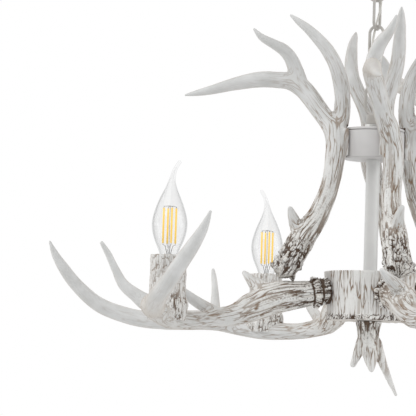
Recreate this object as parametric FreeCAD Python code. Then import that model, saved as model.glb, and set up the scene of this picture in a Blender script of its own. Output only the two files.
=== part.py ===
import FreeCAD
import Part
import math
import os

# Antler chandelier: four lower antlers with candle lamps, four upper antlers, hung on a chain.
# Frame: origin on the ceiling at the chandelier's axis, +Z up, everything hangs below z = 0.
# Millimetres. The antler of arm 1 points to -X and a little to -Y; the others are quarter turns.

os.makedirs("parts", exist_ok=True)

# ---- driving dimensions --------------------------------------------------------------------
ARMS = 4
QUARTER = 360.0 / ARMS

CANOPY_RADIUS = 62.0
CANOPY_DEPTH = 26.0
CANOPY_WALL = 1.5
CANOPY_TOP_RADIUS = 30.0
CANOPY_RIM = 7.0
CANOPY_STEP = 6.0
CANOPY_WAIST_SHARE = 0.45

BAR_END = 3.0
BAR_WIDTH = 20.0
BAR_THICK = 2.5
BAR_SLOT_SPACING = 82.0
BAR_SLOT_WIDTH = 5.0
BAR_SLOT_LENGTH = 12.0

PIPE_RADIUS = 5.0
PIPE_BORE = 3.4
THREAD_PLAY = 0.05
NUT_ACROSS = 16.0
NUT_HEIGHT = 5.0

LINK_LENGTH = 36.0
LINK_WIDTH = 18.0
LINK_WIRE = 3.0
LINK_COUNT = 3
LINK_PLAY = 0.3
CHAIN_YAW = 24.0

LOOP_WIRE = 3.5
LOOP_WIDTH = 24.0
CANOPY_LOOP_HEIGHT = 30.0
TOP_LOOP_HEIGHT = 36.0
LOOP_BARREL_RADIUS = 8.0
LOOP_BARREL_HEIGHT = 10.0
LOOP_MERGE = 2.0
LOOP_BORE = 2.8

DRUM_RADIUS = 31.0
DRUM_HEIGHT = 31.0
DRUM_WALL = 2.0
DRUM_LID_THICK = 2.5
DRUM_SPIGOT = 3.0

TUBE_RADIUS = 7.0
TUBE_WALL = 1.5
TUBE_LENGTH = 115.0
PIPE_END_LENGTH = 9.0

HUB_TOP_RADIUS = 47.0
HUB_BOTTOM_RADIUS = 42.0
HUB_HEIGHT = 49.3
HUB_WALL = 7.0
HUB_FLOOR = 6.0
HUB_COVER_THICK = 2.5
HUB_LIP = 1.6
HUB_LIP_HEIGHT = 5.0

SCREW_RADIUS = 2.5
SCREW_HEAD_RADIUS = 4.5
SCREW_HEAD_HEIGHT = 2.5
SCREW_HEAD_STANDOFF = 1.0
SCREW_GRIP = 14.0
SEAT_GAP = 0.05

SLEEVE_RADIUS = 18.0
SLEEVE_WALL = 3.0
SLEEVE_HEIGHT = 50.0
SLEEVE_FOOT_RADIUS = 21.0
SLEEVE_FOOT_HEIGHT = 7.0
SLEEVE_FOOT_EDGE = 2.8
SEAT_DEPTH = 14.0
SEAT_TAPER = 5.0
SLEEVE_SIDES = 12

HOLDER_RADIUS = 11.5
HOLDER_HEIGHT = 34.0
HOLDER_FLOOR = 12.0
HOLDER_SIDES = 10
HOLDER_PLAY = 0.35
STEM_RADIUS = 4.0
STEM_WALL = 1.2
STEM_LENGTH = 12.0
STEM_SIDES = 8

CAP_RADIUS = 7.0
CAP_TIP_RADIUS = 2.5
CAP_TAPER = 2.0
CONTACT_RADIUS = 3.0
CONTACT_HEIGHT = 1.5
CONTACT_GAP = 0.3
GLASS_GAP = 2.0
GLASS_SHOULDER = 1.2
GLASS_WALL = 0.8
BULB_SIDES = 10
FILAMENT_RADIUS = 1.1
FILAMENT_START = 25.0
FILAMENT_LENGTH = 34.0
FILAMENT_SPREAD = 6.3
FILAMENT_TURN = 15.0
FILAMENT_COUNT = 4

CORD_RADIUS = 1.1
CORD_SWING = 4.2
CORD_ENTRY = 3.0
CORD_SIDES = 5

BEAM_SIDES = 7
TINE_SIDES = 6
FINIAL_SIDES = 10
PIPE_SIDES = 12
TUBE_SIDES = 14
ROUND_SIDES = 28
SCREW_SIDES = 6
WIRE_SIDES = 6
ARC_STEPS = 6
SEW_TOLERANCE = 0.001

# ---- heights, from the ceiling down --------------------------------------------------------
canopy_bottom = -CANOPY_DEPTH
canopy_barrel_bottom = canopy_bottom - LOOP_BARREL_HEIGHT / 2
canopy_ring_top = canopy_barrel_bottom + LOOP_MERGE
pivots = [canopy_ring_top - CANOPY_LOOP_HEIGHT + LOOP_WIRE / 2]
link_tops = []
for number in range(LINK_COUNT):
    holding_wire = LOOP_WIRE if number == 0 else LINK_WIRE
    wire_to_wire = (holding_wire + LINK_WIRE) / 2 + LINK_PLAY
    link_tops.append(pivots[-1] + wire_to_wire + LINK_WIRE / 2)
    pivots.append(link_tops[-1] - LINK_LENGTH + LINK_WIRE / 2)
top_ring_top = pivots[-1] + (LINK_WIRE + LOOP_WIRE) / 2 + LINK_PLAY + LOOP_WIRE / 2
top_barrel_top = top_ring_top - TOP_LOOP_HEIGHT + LOOP_MERGE
top_barrel_bottom = top_barrel_top - LOOP_BARREL_HEIGHT
drum_top = top_barrel_bottom - NUT_HEIGHT
drum_bottom = drum_top - DRUM_HEIGHT
hub_top = drum_bottom - TUBE_LENGTH
hub_bottom = hub_top - HUB_HEIGHT
drum_middle = (drum_top + drum_bottom) / 2
hub_middle = (hub_top + hub_bottom) / 2

# ---- antler centrelines of arm 1: x, y, height over the drum's or hub's middle, radius -----
UPPER_BEAM = [
    (-88, -27, -133.5, 12.8), (-78.5, -25, -116.5, 13.5), (-70, -23, -100, 13.5),
    (-60.5, -21, -85.5, 12), (-54, -20, -75, 10.5), (-48, -19, -60.5, 10), (-43.5, -19, -47.5, 10),
    (-40, -20, -31, 10), (-38.5, -20, -15, 10.5), (-38, -18, -1, 10.5), (-41, -14, 13, 10.8),
    (-49, -9, 24.5, 9.5), (-56.5, -6, 34.5, 9.3), (-66, -2, 47.5, 9.6), (-76, 1.5, 58, 9.8),
    (-87, 4, 63.5, 9), (-99, 4, 64.5, 8.5), (-118, 3, 64.5, 8.2), (-142, 1, 59.5, 6.8),
    (-165.5, -1, 52.5, 5), (-181, -3, 48.5, 3.4), (-195, -5, 45.5, 0.8),
]
UPPER_CROWN_TINE = [
    (-70, 0, 51, 7), (-77, 2, 62, 8.6), (-81.5, 2, 75, 8), (-87, -2, 87, 7), (-94.5, -7, 94.5, 6.2),
    (-104.5, -12, 99.5, 5), (-116.5, -16, 105.5, 3.8), (-125.5, -19, 115, 0.8),
]
UPPER_INNER_TINE = [
    (-40, -16, 6, 9), (-34.5, -12, 20, 9), (-32.5, -11, 33, 8.6), (-32.5, -13, 46, 8.2),
    (-35, -17.5, 61, 8), (-40, -21.5, 77, 7.6), (-49, -23, 92.5, 7), (-59, -23.5, 104, 6),
    (-69, -24, 113.5, 5), (-79.5, -24, 121.5, 3.5), (-89, -24, 128.5, 0.8),
]
UPPER_BROW_TINE = [
    (-70, -23, -103, 8), (-77, -26, -83, 5.5), (-80.5, -28, -74, 3.2), (-83, -30, -67, 0.8),
]
LOWER_BEAM = [
    (-40, -13, 1, 11.5), (-46.5, -17, 3, 12.3), (-48, -18, 3, 16.2), (-52, -19.3, 3, 16.2),
    (-54, -20, 2.5, 12.8), (-62, -22, 1, 13), (-76, -25, -1.5, 14.5), (-95, -31, -5, 16),
    (-116, -37, -14.5, 14.5), (-132.5, -43, -22.5, 11.8), (-150, -52, -27, 10),
    (-168, -71, -31, 8.8), (-182, -94, -32, 9.3), (-193, -117, -31, 10), (-201, -141, -27, 10.5),
    (-205, -166, -22, 11), (-203, -195, -22, 11), (-198, -225, -23.5, 10), (-196, -252, -22, 9.4),
    (-190, -280, -15, 8.7), (-181, -300, -5.5, 8), (-168, -319, 12, 7.3), (-157.7, -330, 26, 6.4),
    (-147.5, -340, 42, 4.3), (-140.5, -348, 58.5, 0.8),
]
LOWER_SIDE_TINE = [
    (-197, -155, -24, 8), (-211, -168, -18.5, 8.4), (-221, -170, -12, 6.6), (-233.5, -171, -2, 5.3),
    (-241.7, -172, 12.5, 4), (-249, -174, 27, 2.8), (-256.6, -176.3, 39.5, 0.8),
]
LOWER_BROW_TINE = [
    (-103, -34, -6, 8.5), (-114, -24, 6, 7.2), (-121, -16, 13.6, 4.2), (-129.8, -7.8, 24, 0.8),
]
LOWER_REAR_TINE = [
    (-146, -48, -25, 6.5), (-166, -56, -15, 6), (-180, -63, -6, 5), (-193, -70, 4, 3.2), (-203, -75, 14, 0.8),
]
SEAT_CENTRE = (-196.0, -113.5)
SEAT_HEIGHT = -19.0
PAD_DIRECTION = 205.3
UPPER_SHIFTS = [0.0, 0.0, 0.0, -20.0]
UPPER_ROLLS = [0.0, 0.0, 0.0, -13.0]
PAD_LENGTH = 12.0
PAD_WIDTH = 19.0
PAD_HEIGHT = 29.0
PAD_SINK = 2.0
PAD_CHAMFER = 3.0
NECK_DIRECTION = 200.6
NECK_HEIGHT = 2.0

FINIAL_BODY = [(0, 0, 0, 14), (0, 0, -6, 12), (0, -0.5, -15, 9.5), (0.5, -1, -22, 5)]
FINIAL_TINES = [
    [(-1, 0, -10, 7), (-8, -1, -24, 5.5), (-13, -2, -37, 3.4), (-15.5, -2, -47, 0.6)],
    [(0, -2, -10, 7), (3, -8, -25, 5.5), (5, -12, -39, 3.2), (4, -13.5, -51, 0.6)],
    [(2, 1, -10, 7), (9, 4, -26, 6), (16, 6, -44, 4.2), (23, 6, -60, 2.4), (30, 4, -75, 0.6)],
]

# glass envelope: height over its base, sideways lean of the flame tip, radius
GLASS_OUTLINE = [
    (0, 0, CAP_RADIUS + GLASS_SHOULDER), (12, 0, 11.2), (24, 0, 15.2), (34, 0, 17.1), (42, 0, 17.5),
    (52, 0, 16.5), (62, 0, 14), (72, 0.2, 10.3), (80, 0.9, 7), (88, 2.3, 4.4), (98, 5, 2.3), (106.4, 8, 0.6),
]
SOLID_TIP_COUNT = 3
BULB_STEM_OUTLINE = [(0, 5), (5, 3), (19, 2), (21, 0.8)]
BULB_LEANS = [0.0, 75.0, 250.0, 180.0]


# ---- helpers -------------------------------------------------------------------------------
def vector(x, y, z):
    return FreeCAD.Vector(x, y, z)


def skin(rings, closed):
    """A solid bounded by flat triangles between like polygons, its ends capped unless it closes on itself."""
    sides = len(rings[0])
    count = len(rings)
    facets = []
    for k in range(count if closed else count - 1):
        low = k * sides
        high = (k + 1) % count * sides
        for j in range(sides):
            after = (j + 1) % sides
            facets.append((low + j, low + after, high + after))
            facets.append((low + j, high + after, high + j))
    if not closed:
        last = (count - 1) * sides
        for j in range(1, sides - 1):
            facets.append((0, j + 1, j))
            facets.append((last, last + j, last + j + 1))
    shell = Part.Shape()
    shell.makeShapeFromMesh(([corner for one in rings for corner in one], facets), SEW_TOLERANCE)
    return Part.makeSolid(shell).removeSplitter()


def polygon(centre, normal, first, radius, sides):
    """The corners of a regular polygon about centre, square to normal, the first one towards first."""
    second = normal.cross(first)
    corners = []
    for k in range(sides):
        angle = 2 * math.pi * k / sides
        corners.append(centre + first * (radius * math.cos(angle)) + second * (radius * math.sin(angle)))
    return corners


def sections(points, sides, closed):
    """Polygons along a centreline of (x, y, z, radius), turned as little as possible on the way."""
    centres = [vector(*point[:3]) for point in points]
    count = len(points)
    first = None
    rings = []
    for k in range(count):
        along = vector(0, 0, 0)
        if closed or k > 0:
            along += (centres[k] - centres[k - 1]).normalize()
        if closed or k < count - 1:
            along += (centres[(k + 1) % count] - centres[k]).normalize()
        along.normalize()
        if first is None:
            first = vector(0, 0, 1) if abs(along.z) < 0.8 else vector(1, 0, 0)
        first = (first - along * first.dot(along)).normalize()
        rings.append(polygon(centres[k], along, first, points[k][3], sides))
    return rings


def tube(points, sides, closed=False):
    """A solid of many-sided section along a centreline of (x, y, z, radius)."""
    return skin(sections(points, sides, closed), closed)


def upright(outline, x=0.0, y=0.0, sides=PIPE_SIDES):
    """A turned solid, as a stack of many-sided sections of (radius, height) about an upright axis."""
    return tube([(x, y, height, radius) for radius, height in outline], sides)


def cylinder(radius, low, high, x=0.0, y=0.0, sides=PIPE_SIDES):
    return upright([(radius, low), (radius, high)], x, y, sides)


def ring(outer, inner, low, high, x=0.0, y=0.0, sides=PIPE_SIDES, bore_sides=PIPE_SIDES):
    return cylinder(outer, low, high, x, y, sides).cut(cylinder(inner, low - 1, high + 1, x, y, bore_sides))


def hexagon_nut(across, bore, low, high):
    return ring(across / math.sqrt(3), bore, low, high, sides=6)


def oval_ring(width, height, wire, top, yaw, sides=WIRE_SIDES, steps=ARC_STEPS):
    """A round-ended ring of wire that stands upright, at an angle of yaw to the X axis."""
    arc_radius = (width - wire) / 2
    half_straight = (height - wire) / 2 - arc_radius
    middle = top - height / 2
    line = []
    for sign in (1, -1):
        for k in range(steps + 1):
            angle = math.pi * k / steps
            across = sign * arc_radius * math.cos(angle)
            up = sign * (half_straight + arc_radius * math.sin(angle))
            line.append((across * math.cos(math.radians(yaw)), across * math.sin(math.radians(yaw)),
                         middle + up, wire / 2))
    return tube(line, sides, closed=True)


def lifted(points, height):
    return [(x, y, z + height, radius) for x, y, z, radius in points]


def turned(shape, angle):
    copy = shape.copy()
    copy.rotate(vector(0, 0, 0), vector(0, 0, 1), angle)
    return copy


def radial_cylinder(radius, start, end, direction, height):
    """A round bar that points away from the axis, from one distance to another."""
    angle = math.radians(direction)
    ends = [(reach * math.cos(angle), reach * math.sin(angle), height, radius) for reach in (start, end)]
    return tube(ends, SCREW_SIDES)


def turned_about(x, y, quarter):
    angle = math.radians(quarter * QUARTER)
    return x * math.cos(angle) - y * math.sin(angle), x * math.sin(angle) + y * math.cos(angle)


def export(shape, name):
    shape.exportStep("parts/" + name + ".step")


def group(shapes):
    return Part.makeCompound(shapes)


# ---- ceiling fitting -----------------------------------------------------------------------
def mounting_bar():
    length = BAR_SLOT_SPACING + BAR_SLOT_LENGTH + 2 * BAR_END
    bar = Part.makeBox(length, BAR_WIDTH, BAR_THICK, vector(-length / 2, -BAR_WIDTH / 2, -BAR_THICK))
    bar = bar.cut(cylinder(PIPE_RADIUS + THREAD_PLAY, -BAR_THICK - 1, 1))
    for side in (-1, 1):
        centre = side * BAR_SLOT_SPACING / 2
        run = BAR_SLOT_LENGTH - BAR_SLOT_WIDTH
        slot = Part.makeBox(run, BAR_SLOT_WIDTH, BAR_THICK + 2,
                            vector(centre - run / 2, -BAR_SLOT_WIDTH / 2, -BAR_THICK - 1))
        for end in (-1, 1):
            slot = slot.fuse(Part.makeCylinder(BAR_SLOT_WIDTH / 2, BAR_THICK + 2,
                                               vector(centre + end * run / 2, 0, -BAR_THICK - 1)))
        bar = bar.cut(slot)
    return bar


def canopy():
    waist = canopy_bottom + CANOPY_DEPTH * CANOPY_WAIST_SHARE
    outside = [(CANOPY_TOP_RADIUS, canopy_bottom), (CANOPY_RADIUS - CANOPY_STEP, waist),
               (CANOPY_RADIUS, -CANOPY_RIM), (CANOPY_RADIUS, 0)]
    inside = [(CANOPY_TOP_RADIUS - CANOPY_WALL / 2, canopy_bottom + CANOPY_WALL),
              (CANOPY_RADIUS - CANOPY_STEP - CANOPY_WALL, waist + CANOPY_WALL / 2),
              (CANOPY_RADIUS - CANOPY_WALL, -CANOPY_RIM), (CANOPY_RADIUS - CANOPY_WALL, 1)]
    shell = upright(outside, sides=ROUND_SIDES).cut(upright(inside, sides=ROUND_SIDES))
    return shell.cut(cylinder(PIPE_RADIUS + THREAD_PLAY, canopy_bottom - 1, canopy_bottom + CANOPY_WALL + 1))


def canopy_pipe():
    return ring(PIPE_RADIUS, PIPE_BORE, canopy_barrel_bottom + LOOP_MERGE, 0)


def canopy_nuts():
    under_bar = hexagon_nut(NUT_ACROSS, PIPE_RADIUS + THREAD_PLAY, -BAR_THICK - NUT_HEIGHT, -BAR_THICK)
    inside = canopy_bottom + CANOPY_WALL
    return group([under_bar, hexagon_nut(NUT_ACROSS, PIPE_RADIUS + THREAD_PLAY, inside, inside + NUT_HEIGHT)])


def barrel_with_ring(barrel_low, barrel_high, ring_top, ring_height, pipe_low, pipe_high):
    """A hanging loop: a collar screwed on the pipe and an upright oval ring, bored for the cord."""
    eye = oval_ring(LOOP_WIDTH, ring_height, LOOP_WIRE, ring_top, -CHAIN_YAW)
    collar = cylinder(LOOP_BARREL_RADIUS, barrel_low, barrel_high, sides=PIPE_SIDES)
    fitting = eye.fuse(collar)
    fitting = fitting.cut(cylinder(PIPE_RADIUS + THREAD_PLAY, pipe_low, pipe_high))
    bore_low = min(barrel_low, ring_top - ring_height) - 1
    bore_high = max(barrel_high, ring_top) + 1
    if barrel_high > ring_top:
        bore_low = ring_top - LOOP_WIRE * 2
    else:
        bore_high = ring_top - ring_height + LOOP_WIRE * 2
    return fitting.cut(cylinder(LOOP_BORE, bore_low, bore_high))


def canopy_loop():
    return barrel_with_ring(canopy_barrel_bottom, canopy_bottom, canopy_ring_top, CANOPY_LOOP_HEIGHT,
                            canopy_barrel_bottom + LOOP_MERGE, canopy_bottom + 1)


# ---- chain and cord ------------------------------------------------------------------------
def chain_link(number):
    yaw = 90 - CHAIN_YAW if number % 2 == 0 else -CHAIN_YAW
    return oval_ring(LINK_WIDTH, LINK_LENGTH, LINK_WIRE, link_tops[number], yaw)


def cord_route():
    """The cord leaves the ceiling pipe, weaves through each link at mid height and enters the drum."""
    corners = [(1, 1), (-1, 1), (-1, -1), (1, -1)]
    route = [(0, 0, 0), (0, 0, canopy_barrel_bottom + CORD_ENTRY)]
    for height, (p, q) in zip(pivots, corners):
        route.append((p * CORD_SWING, q * CORD_SWING, height))
    route.append((0, 0, top_barrel_top - CORD_ENTRY))
    route.append((0, 0, drum_top - DRUM_HEIGHT / 2))
    yaw = math.radians(-CHAIN_YAW)
    return [vector(p * math.cos(yaw) - q * math.sin(yaw), p * math.sin(yaw) + q * math.cos(yaw), z)
            for p, q, z in route]


def supply_cord():
    """Straight runs joined by tangent arcs, each as large as its two runs allow."""
    route = cord_route()
    line = [route[0]]
    for before, corner, after in zip(route, route[1:], route[2:]):
        into = (corner - before).normalize()
        out = (after - corner).normalize()
        turn = into.getAngle(out)
        reach = 0.45 * min((corner - before).Length, (after - corner).Length)
        print("cord bend radius", round(reach / math.tan(turn / 2), 1))
        start = corner - into * reach
        end = corner + out * reach
        middle = corner + (start + end - corner * 2) * 0.25
        line += [start, middle, end]
    line.append(route[-1])
    return tube([(p.x, p.y, p.z, CORD_RADIUS) for p in line], CORD_SIDES)


# ---- centre column -------------------------------------------------------------------------
def top_loop():
    return barrel_with_ring(top_barrel_bottom, top_barrel_top, top_ring_top, TOP_LOOP_HEIGHT,
                            top_barrel_bottom - 1, top_barrel_top - LOOP_MERGE)


def lock_nut():
    return hexagon_nut(NUT_ACROSS, PIPE_RADIUS + THREAD_PLAY, drum_top, drum_top + NUT_HEIGHT)


def column_pipe():
    return ring(PIPE_RADIUS, PIPE_BORE, hub_bottom - PIPE_END_LENGTH, top_barrel_top - LOOP_MERGE)


def drum_lid():
    lid = ring(DRUM_RADIUS, PIPE_RADIUS + THREAD_PLAY, drum_top - DRUM_LID_THICK, drum_top, sides=ROUND_SIDES)
    spigot_low = drum_top - DRUM_LID_THICK - DRUM_SPIGOT
    spigot = ring(DRUM_RADIUS - DRUM_WALL - SEAT_GAP, DRUM_RADIUS - DRUM_WALL * 2, spigot_low,
                  drum_top - DRUM_LID_THICK / 2, sides=ROUND_SIDES, bore_sides=ROUND_SIDES)
    return lid.fuse(spigot)


def pad_directions():
    """Where each upper antler meets the drum: quarter turns, apart from its own shift."""
    return [PAD_DIRECTION + arm * QUARTER + UPPER_SHIFTS[arm] for arm in range(ARMS)]


def drum_body():
    wall_top = drum_top - DRUM_LID_THICK
    outside = cylinder(DRUM_RADIUS, drum_bottom, wall_top, sides=ROUND_SIDES)
    inside = cylinder(DRUM_RADIUS - DRUM_WALL, drum_bottom + DRUM_WALL, wall_top + 1, sides=ROUND_SIDES)
    body = outside.cut(inside).cut(cylinder(PIPE_RADIUS + THREAD_PLAY, drum_bottom - 1, wall_top))
    for direction in pad_directions():
        hole = radial_cylinder(SCREW_RADIUS + THREAD_PLAY, DRUM_RADIUS - DRUM_WALL - 1, DRUM_RADIUS + 1,
                               direction, drum_middle)
        body = body.cut(hole)
    return body


def centre_tube():
    return ring(TUBE_RADIUS, TUBE_RADIUS - TUBE_WALL, hub_top, drum_bottom, sides=TUBE_SIDES,
                bore_sides=TUBE_SIDES)


def hub_outside(growth=0.0):
    return upright([(HUB_BOTTOM_RADIUS + growth, hub_bottom), (HUB_TOP_RADIUS + growth, hub_top)],
                   sides=ROUND_SIDES)


def hub_wall_radius(height):
    share = (height - hub_bottom) / HUB_HEIGHT
    return HUB_BOTTOM_RADIUS + share * (HUB_TOP_RADIUS - HUB_BOTTOM_RADIUS)


def hub_shell():
    low = hub_bottom + HUB_FLOOR
    lip_top = hub_bottom + HUB_LIP_HEIGHT
    outside = upright([(HUB_BOTTOM_RADIUS + HUB_LIP, hub_bottom), (hub_wall_radius(lip_top), lip_top),
                       (HUB_TOP_RADIUS, hub_top)], sides=ROUND_SIDES)
    cavity = upright([(hub_wall_radius(low) - HUB_WALL, low), (HUB_TOP_RADIUS - HUB_WALL, hub_top + 1)],
                     sides=ROUND_SIDES)
    rebate = cylinder(HUB_TOP_RADIUS - HUB_WALL / 2, hub_top - HUB_COVER_THICK, hub_top + 2,
                      sides=ROUND_SIDES)
    pipe_hole = cylinder(PIPE_RADIUS + THREAD_PLAY, hub_bottom - 1, low + 1)
    shell = outside.cut(cavity).cut(rebate).cut(pipe_hole)
    height = hub_middle + NECK_HEIGHT
    for arm in range(ARMS):
        shell = shell.cut(radial_cylinder(SCREW_RADIUS + THREAD_PLAY, hub_wall_radius(height) - HUB_WALL - 1,
                                          HUB_TOP_RADIUS + 1, NECK_DIRECTION + arm * QUARTER, height))
    return shell


def hub_cover():
    edge = HUB_TOP_RADIUS - HUB_WALL / 2 - SEAT_GAP
    return ring(edge, PIPE_RADIUS + THREAD_PLAY, hub_top - HUB_COVER_THICK, hub_top, sides=ROUND_SIDES)


def finial():
    body = tube(lifted(FINIAL_BODY, hub_bottom), FINIAL_SIDES)
    for tine in FINIAL_TINES:
        body = body.fuse(tube(lifted(tine, hub_bottom), TINE_SIDES))
    return body.cut(cylinder(PIPE_RADIUS + THREAD_PLAY, hub_bottom - PIPE_END_LENGTH, hub_bottom + 1))


# ---- antlers -------------------------------------------------------------------------------
def branched(beam, tines, middle):
    antler = tube(lifted(beam, middle), BEAM_SIDES)
    for tine in tines:
        antler = antler.fuse(tube(lifted(tine, middle), TINE_SIDES))
    return antler


def drum_pad():
    """The flat-sided foot of an upper antler, from which the drum's round is cut."""
    corner = vector(DRUM_RADIUS - PAD_SINK, -PAD_WIDTH / 2, drum_middle - PAD_HEIGHT / 2)
    pad = Part.makeBox(PAD_LENGTH, PAD_WIDTH, PAD_HEIGHT, corner)
    outer = corner.x + PAD_LENGTH
    edges = [edge for edge in pad.Edges if abs(edge.CenterOfMass.x - outer) < SEW_TOLERANCE]
    return turned(pad.makeChamfer(PAD_CHAMFER, edges), PAD_DIRECTION)


def upper_antler(arm):
    """Arm 1's shape, rolled about its own screw and turned to its own place round the drum."""
    antler = branched(UPPER_BEAM, (UPPER_CROWN_TINE, UPPER_INNER_TINE, UPPER_BROW_TINE), drum_middle)
    along = math.radians(PAD_DIRECTION)
    antler.rotate(vector(0, 0, drum_middle), vector(math.cos(along), math.sin(along), 0), UPPER_ROLLS[arm])
    antler = turned(antler.fuse(drum_pad()), arm * QUARTER + UPPER_SHIFTS[arm])
    antler = antler.cut(cylinder(DRUM_RADIUS + SEAT_GAP, drum_bottom - 1, drum_top + 1, sides=ROUND_SIDES))
    pilot = radial_cylinder(SCREW_RADIUS + THREAD_PLAY, DRUM_RADIUS - 1, DRUM_RADIUS + SCREW_GRIP,
                            pad_directions()[arm], drum_middle)
    return antler.cut(pilot)


def lower_antler():
    antler = branched(LOWER_BEAM, (LOWER_SIDE_TINE, LOWER_BROW_TINE, LOWER_REAR_TINE), hub_middle)
    seat = hub_middle + SEAT_HEIGHT
    x, y = SEAT_CENTRE
    boss = upright([(SLEEVE_FOOT_RADIUS - SEAT_TAPER, seat - SEAT_DEPTH),
                    (SLEEVE_FOOT_RADIUS, seat - SEAT_DEPTH + SEAT_TAPER), (SLEEVE_FOOT_RADIUS, seat)],
                   x, y, SLEEVE_SIDES)
    clear_above = cylinder(SLEEVE_FOOT_RADIUS + 1, seat, seat + SLEEVE_HEIGHT, x, y, SLEEVE_SIDES)
    antler = antler.fuse(boss).cut(clear_above).cut(hub_outside(SEAT_GAP))
    height = hub_middle + NECK_HEIGHT
    wall = hub_wall_radius(height)
    pilot = radial_cylinder(SCREW_RADIUS + THREAD_PLAY, wall - 1, wall + SCREW_GRIP, NECK_DIRECTION, height)
    stem_hole = cylinder(STEM_RADIUS + THREAD_PLAY, seat - STEM_LENGTH / 2, seat + 1, x, y, STEM_SIDES)
    return antler.cut(pilot).cut(stem_hole)


def antler_screws(directions, height, inner_wall, outer_wall):
    screws = []
    head_end = inner_wall - SCREW_HEAD_STANDOFF
    for angle in directions:
        shank = radial_cylinder(SCREW_RADIUS, head_end - SCREW_HEAD_HEIGHT, outer_wall + SCREW_GRIP - 1,
                                angle, height)
        head = radial_cylinder(SCREW_HEAD_RADIUS, head_end - SCREW_HEAD_HEIGHT, head_end, angle, height)
        screws.append(shank.fuse(head))
    return group(screws)


# ---- candle lamps --------------------------------------------------------------------------
def lamp_place(arm):
    x, y = turned_about(SEAT_CENTRE[0], SEAT_CENTRE[1], arm)
    return x, y, hub_middle + SEAT_HEIGHT


def candle_sleeve(arm):
    x, y, seat = lamp_place(arm)
    outline = [(SLEEVE_FOOT_RADIUS, seat), (SLEEVE_FOOT_RADIUS, seat + SLEEVE_FOOT_EDGE),
               (SLEEVE_RADIUS, seat + SLEEVE_FOOT_HEIGHT), (SLEEVE_RADIUS, seat + SLEEVE_HEIGHT)]
    bore = cylinder(SLEEVE_RADIUS - SLEEVE_WALL, seat - 1, seat + SLEEVE_HEIGHT + 1, x, y, SLEEVE_SIDES)
    return upright(outline, x, y, SLEEVE_SIDES).cut(bore)


def lampholder(arm):
    x, y, seat = lamp_place(arm)
    outside = cylinder(HOLDER_RADIUS, seat, seat + HOLDER_HEIGHT, x, y, HOLDER_SIDES)
    bore_radius = (CAP_RADIUS + HOLDER_PLAY) / math.cos(math.pi / BULB_SIDES)
    bore = cylinder(bore_radius, seat + HOLDER_FLOOR, seat + HOLDER_HEIGHT + 1, x, y, BULB_SIDES)
    stem = cylinder(STEM_RADIUS + THREAD_PLAY, seat - 1, seat + STEM_LENGTH / 2, x, y, STEM_SIDES)
    return outside.cut(bore).cut(stem)


def holder_stems():
    stems = []
    for arm in range(ARMS):
        x, y, seat = lamp_place(arm)
        stems.append(ring(STEM_RADIUS, STEM_RADIUS - STEM_WALL, seat - STEM_LENGTH / 2,
                          seat + STEM_LENGTH / 2, x, y, STEM_SIDES, STEM_SIDES))
    return group(stems)


def holder_contacts():
    contacts = []
    for arm in range(ARMS):
        x, y, seat = lamp_place(arm)
        low = seat + HOLDER_FLOOR
        contacts.append(upright([(CONTACT_RADIUS, low), (CONTACT_RADIUS / 2, low + CONTACT_HEIGHT)],
                                x, y, STEM_SIDES))
    return group(contacts)


def glass_base(arm):
    x, y, seat = lamp_place(arm)
    return x, y, seat + HOLDER_HEIGHT + GLASS_GAP


def bulb_cap(arm):
    x, y, base = glass_base(arm)
    low = lamp_place(arm)[2] + HOLDER_FLOOR + CONTACT_HEIGHT + CONTACT_GAP
    outline = [(CAP_TIP_RADIUS, low), (CAP_RADIUS - CAP_TAPER, low + CAP_TAPER),
               (CAP_RADIUS, low + CAP_TAPER * 2), (CAP_RADIUS, base)]
    return upright(outline, x, y, BULB_SIDES)


def bulb_glass(arm):
    x, y, base = glass_base(arm)
    lean = math.radians(BULB_LEANS[arm])
    outside = [(x + side * math.cos(lean), y + side * math.sin(lean), base + height, radius)
               for height, side, radius in GLASS_OUTLINE]
    inside = [(px, py, pz, radius - GLASS_WALL) for px, py, pz, radius in outside[:-SOLID_TIP_COUNT]]
    px, py, pz, radius = inside[0]
    inside[0] = (px, py, pz + GLASS_WALL, radius)
    return tube(outside, BULB_SIDES).cut(tube(inside, BULB_SIDES))


def bulb_stem(arm):
    """The glass stem, with its pump tube, that carries the filament wires."""
    x, y, base = glass_base(arm)
    low = base + GLASS_WALL + SEAT_GAP
    return upright([(radius, low + height) for height, radius in BULB_STEM_OUTLINE], x, y, STEM_SIDES)


def bulb_filaments(arm):
    x, y, base = glass_base(arm)
    low = base + FILAMENT_START
    rods = []
    for k in range(FILAMENT_COUNT):
        angle = math.radians(FILAMENT_TURN + 360 / FILAMENT_COUNT * k)
        rod_x = x + FILAMENT_SPREAD * math.cos(angle)
        rod_y = y + FILAMENT_SPREAD * math.sin(angle)
        rods.append(cylinder(FILAMENT_RADIUS, low, low + FILAMENT_LENGTH, rod_x, rod_y, SCREW_SIDES))
    return group(rods)


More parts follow.
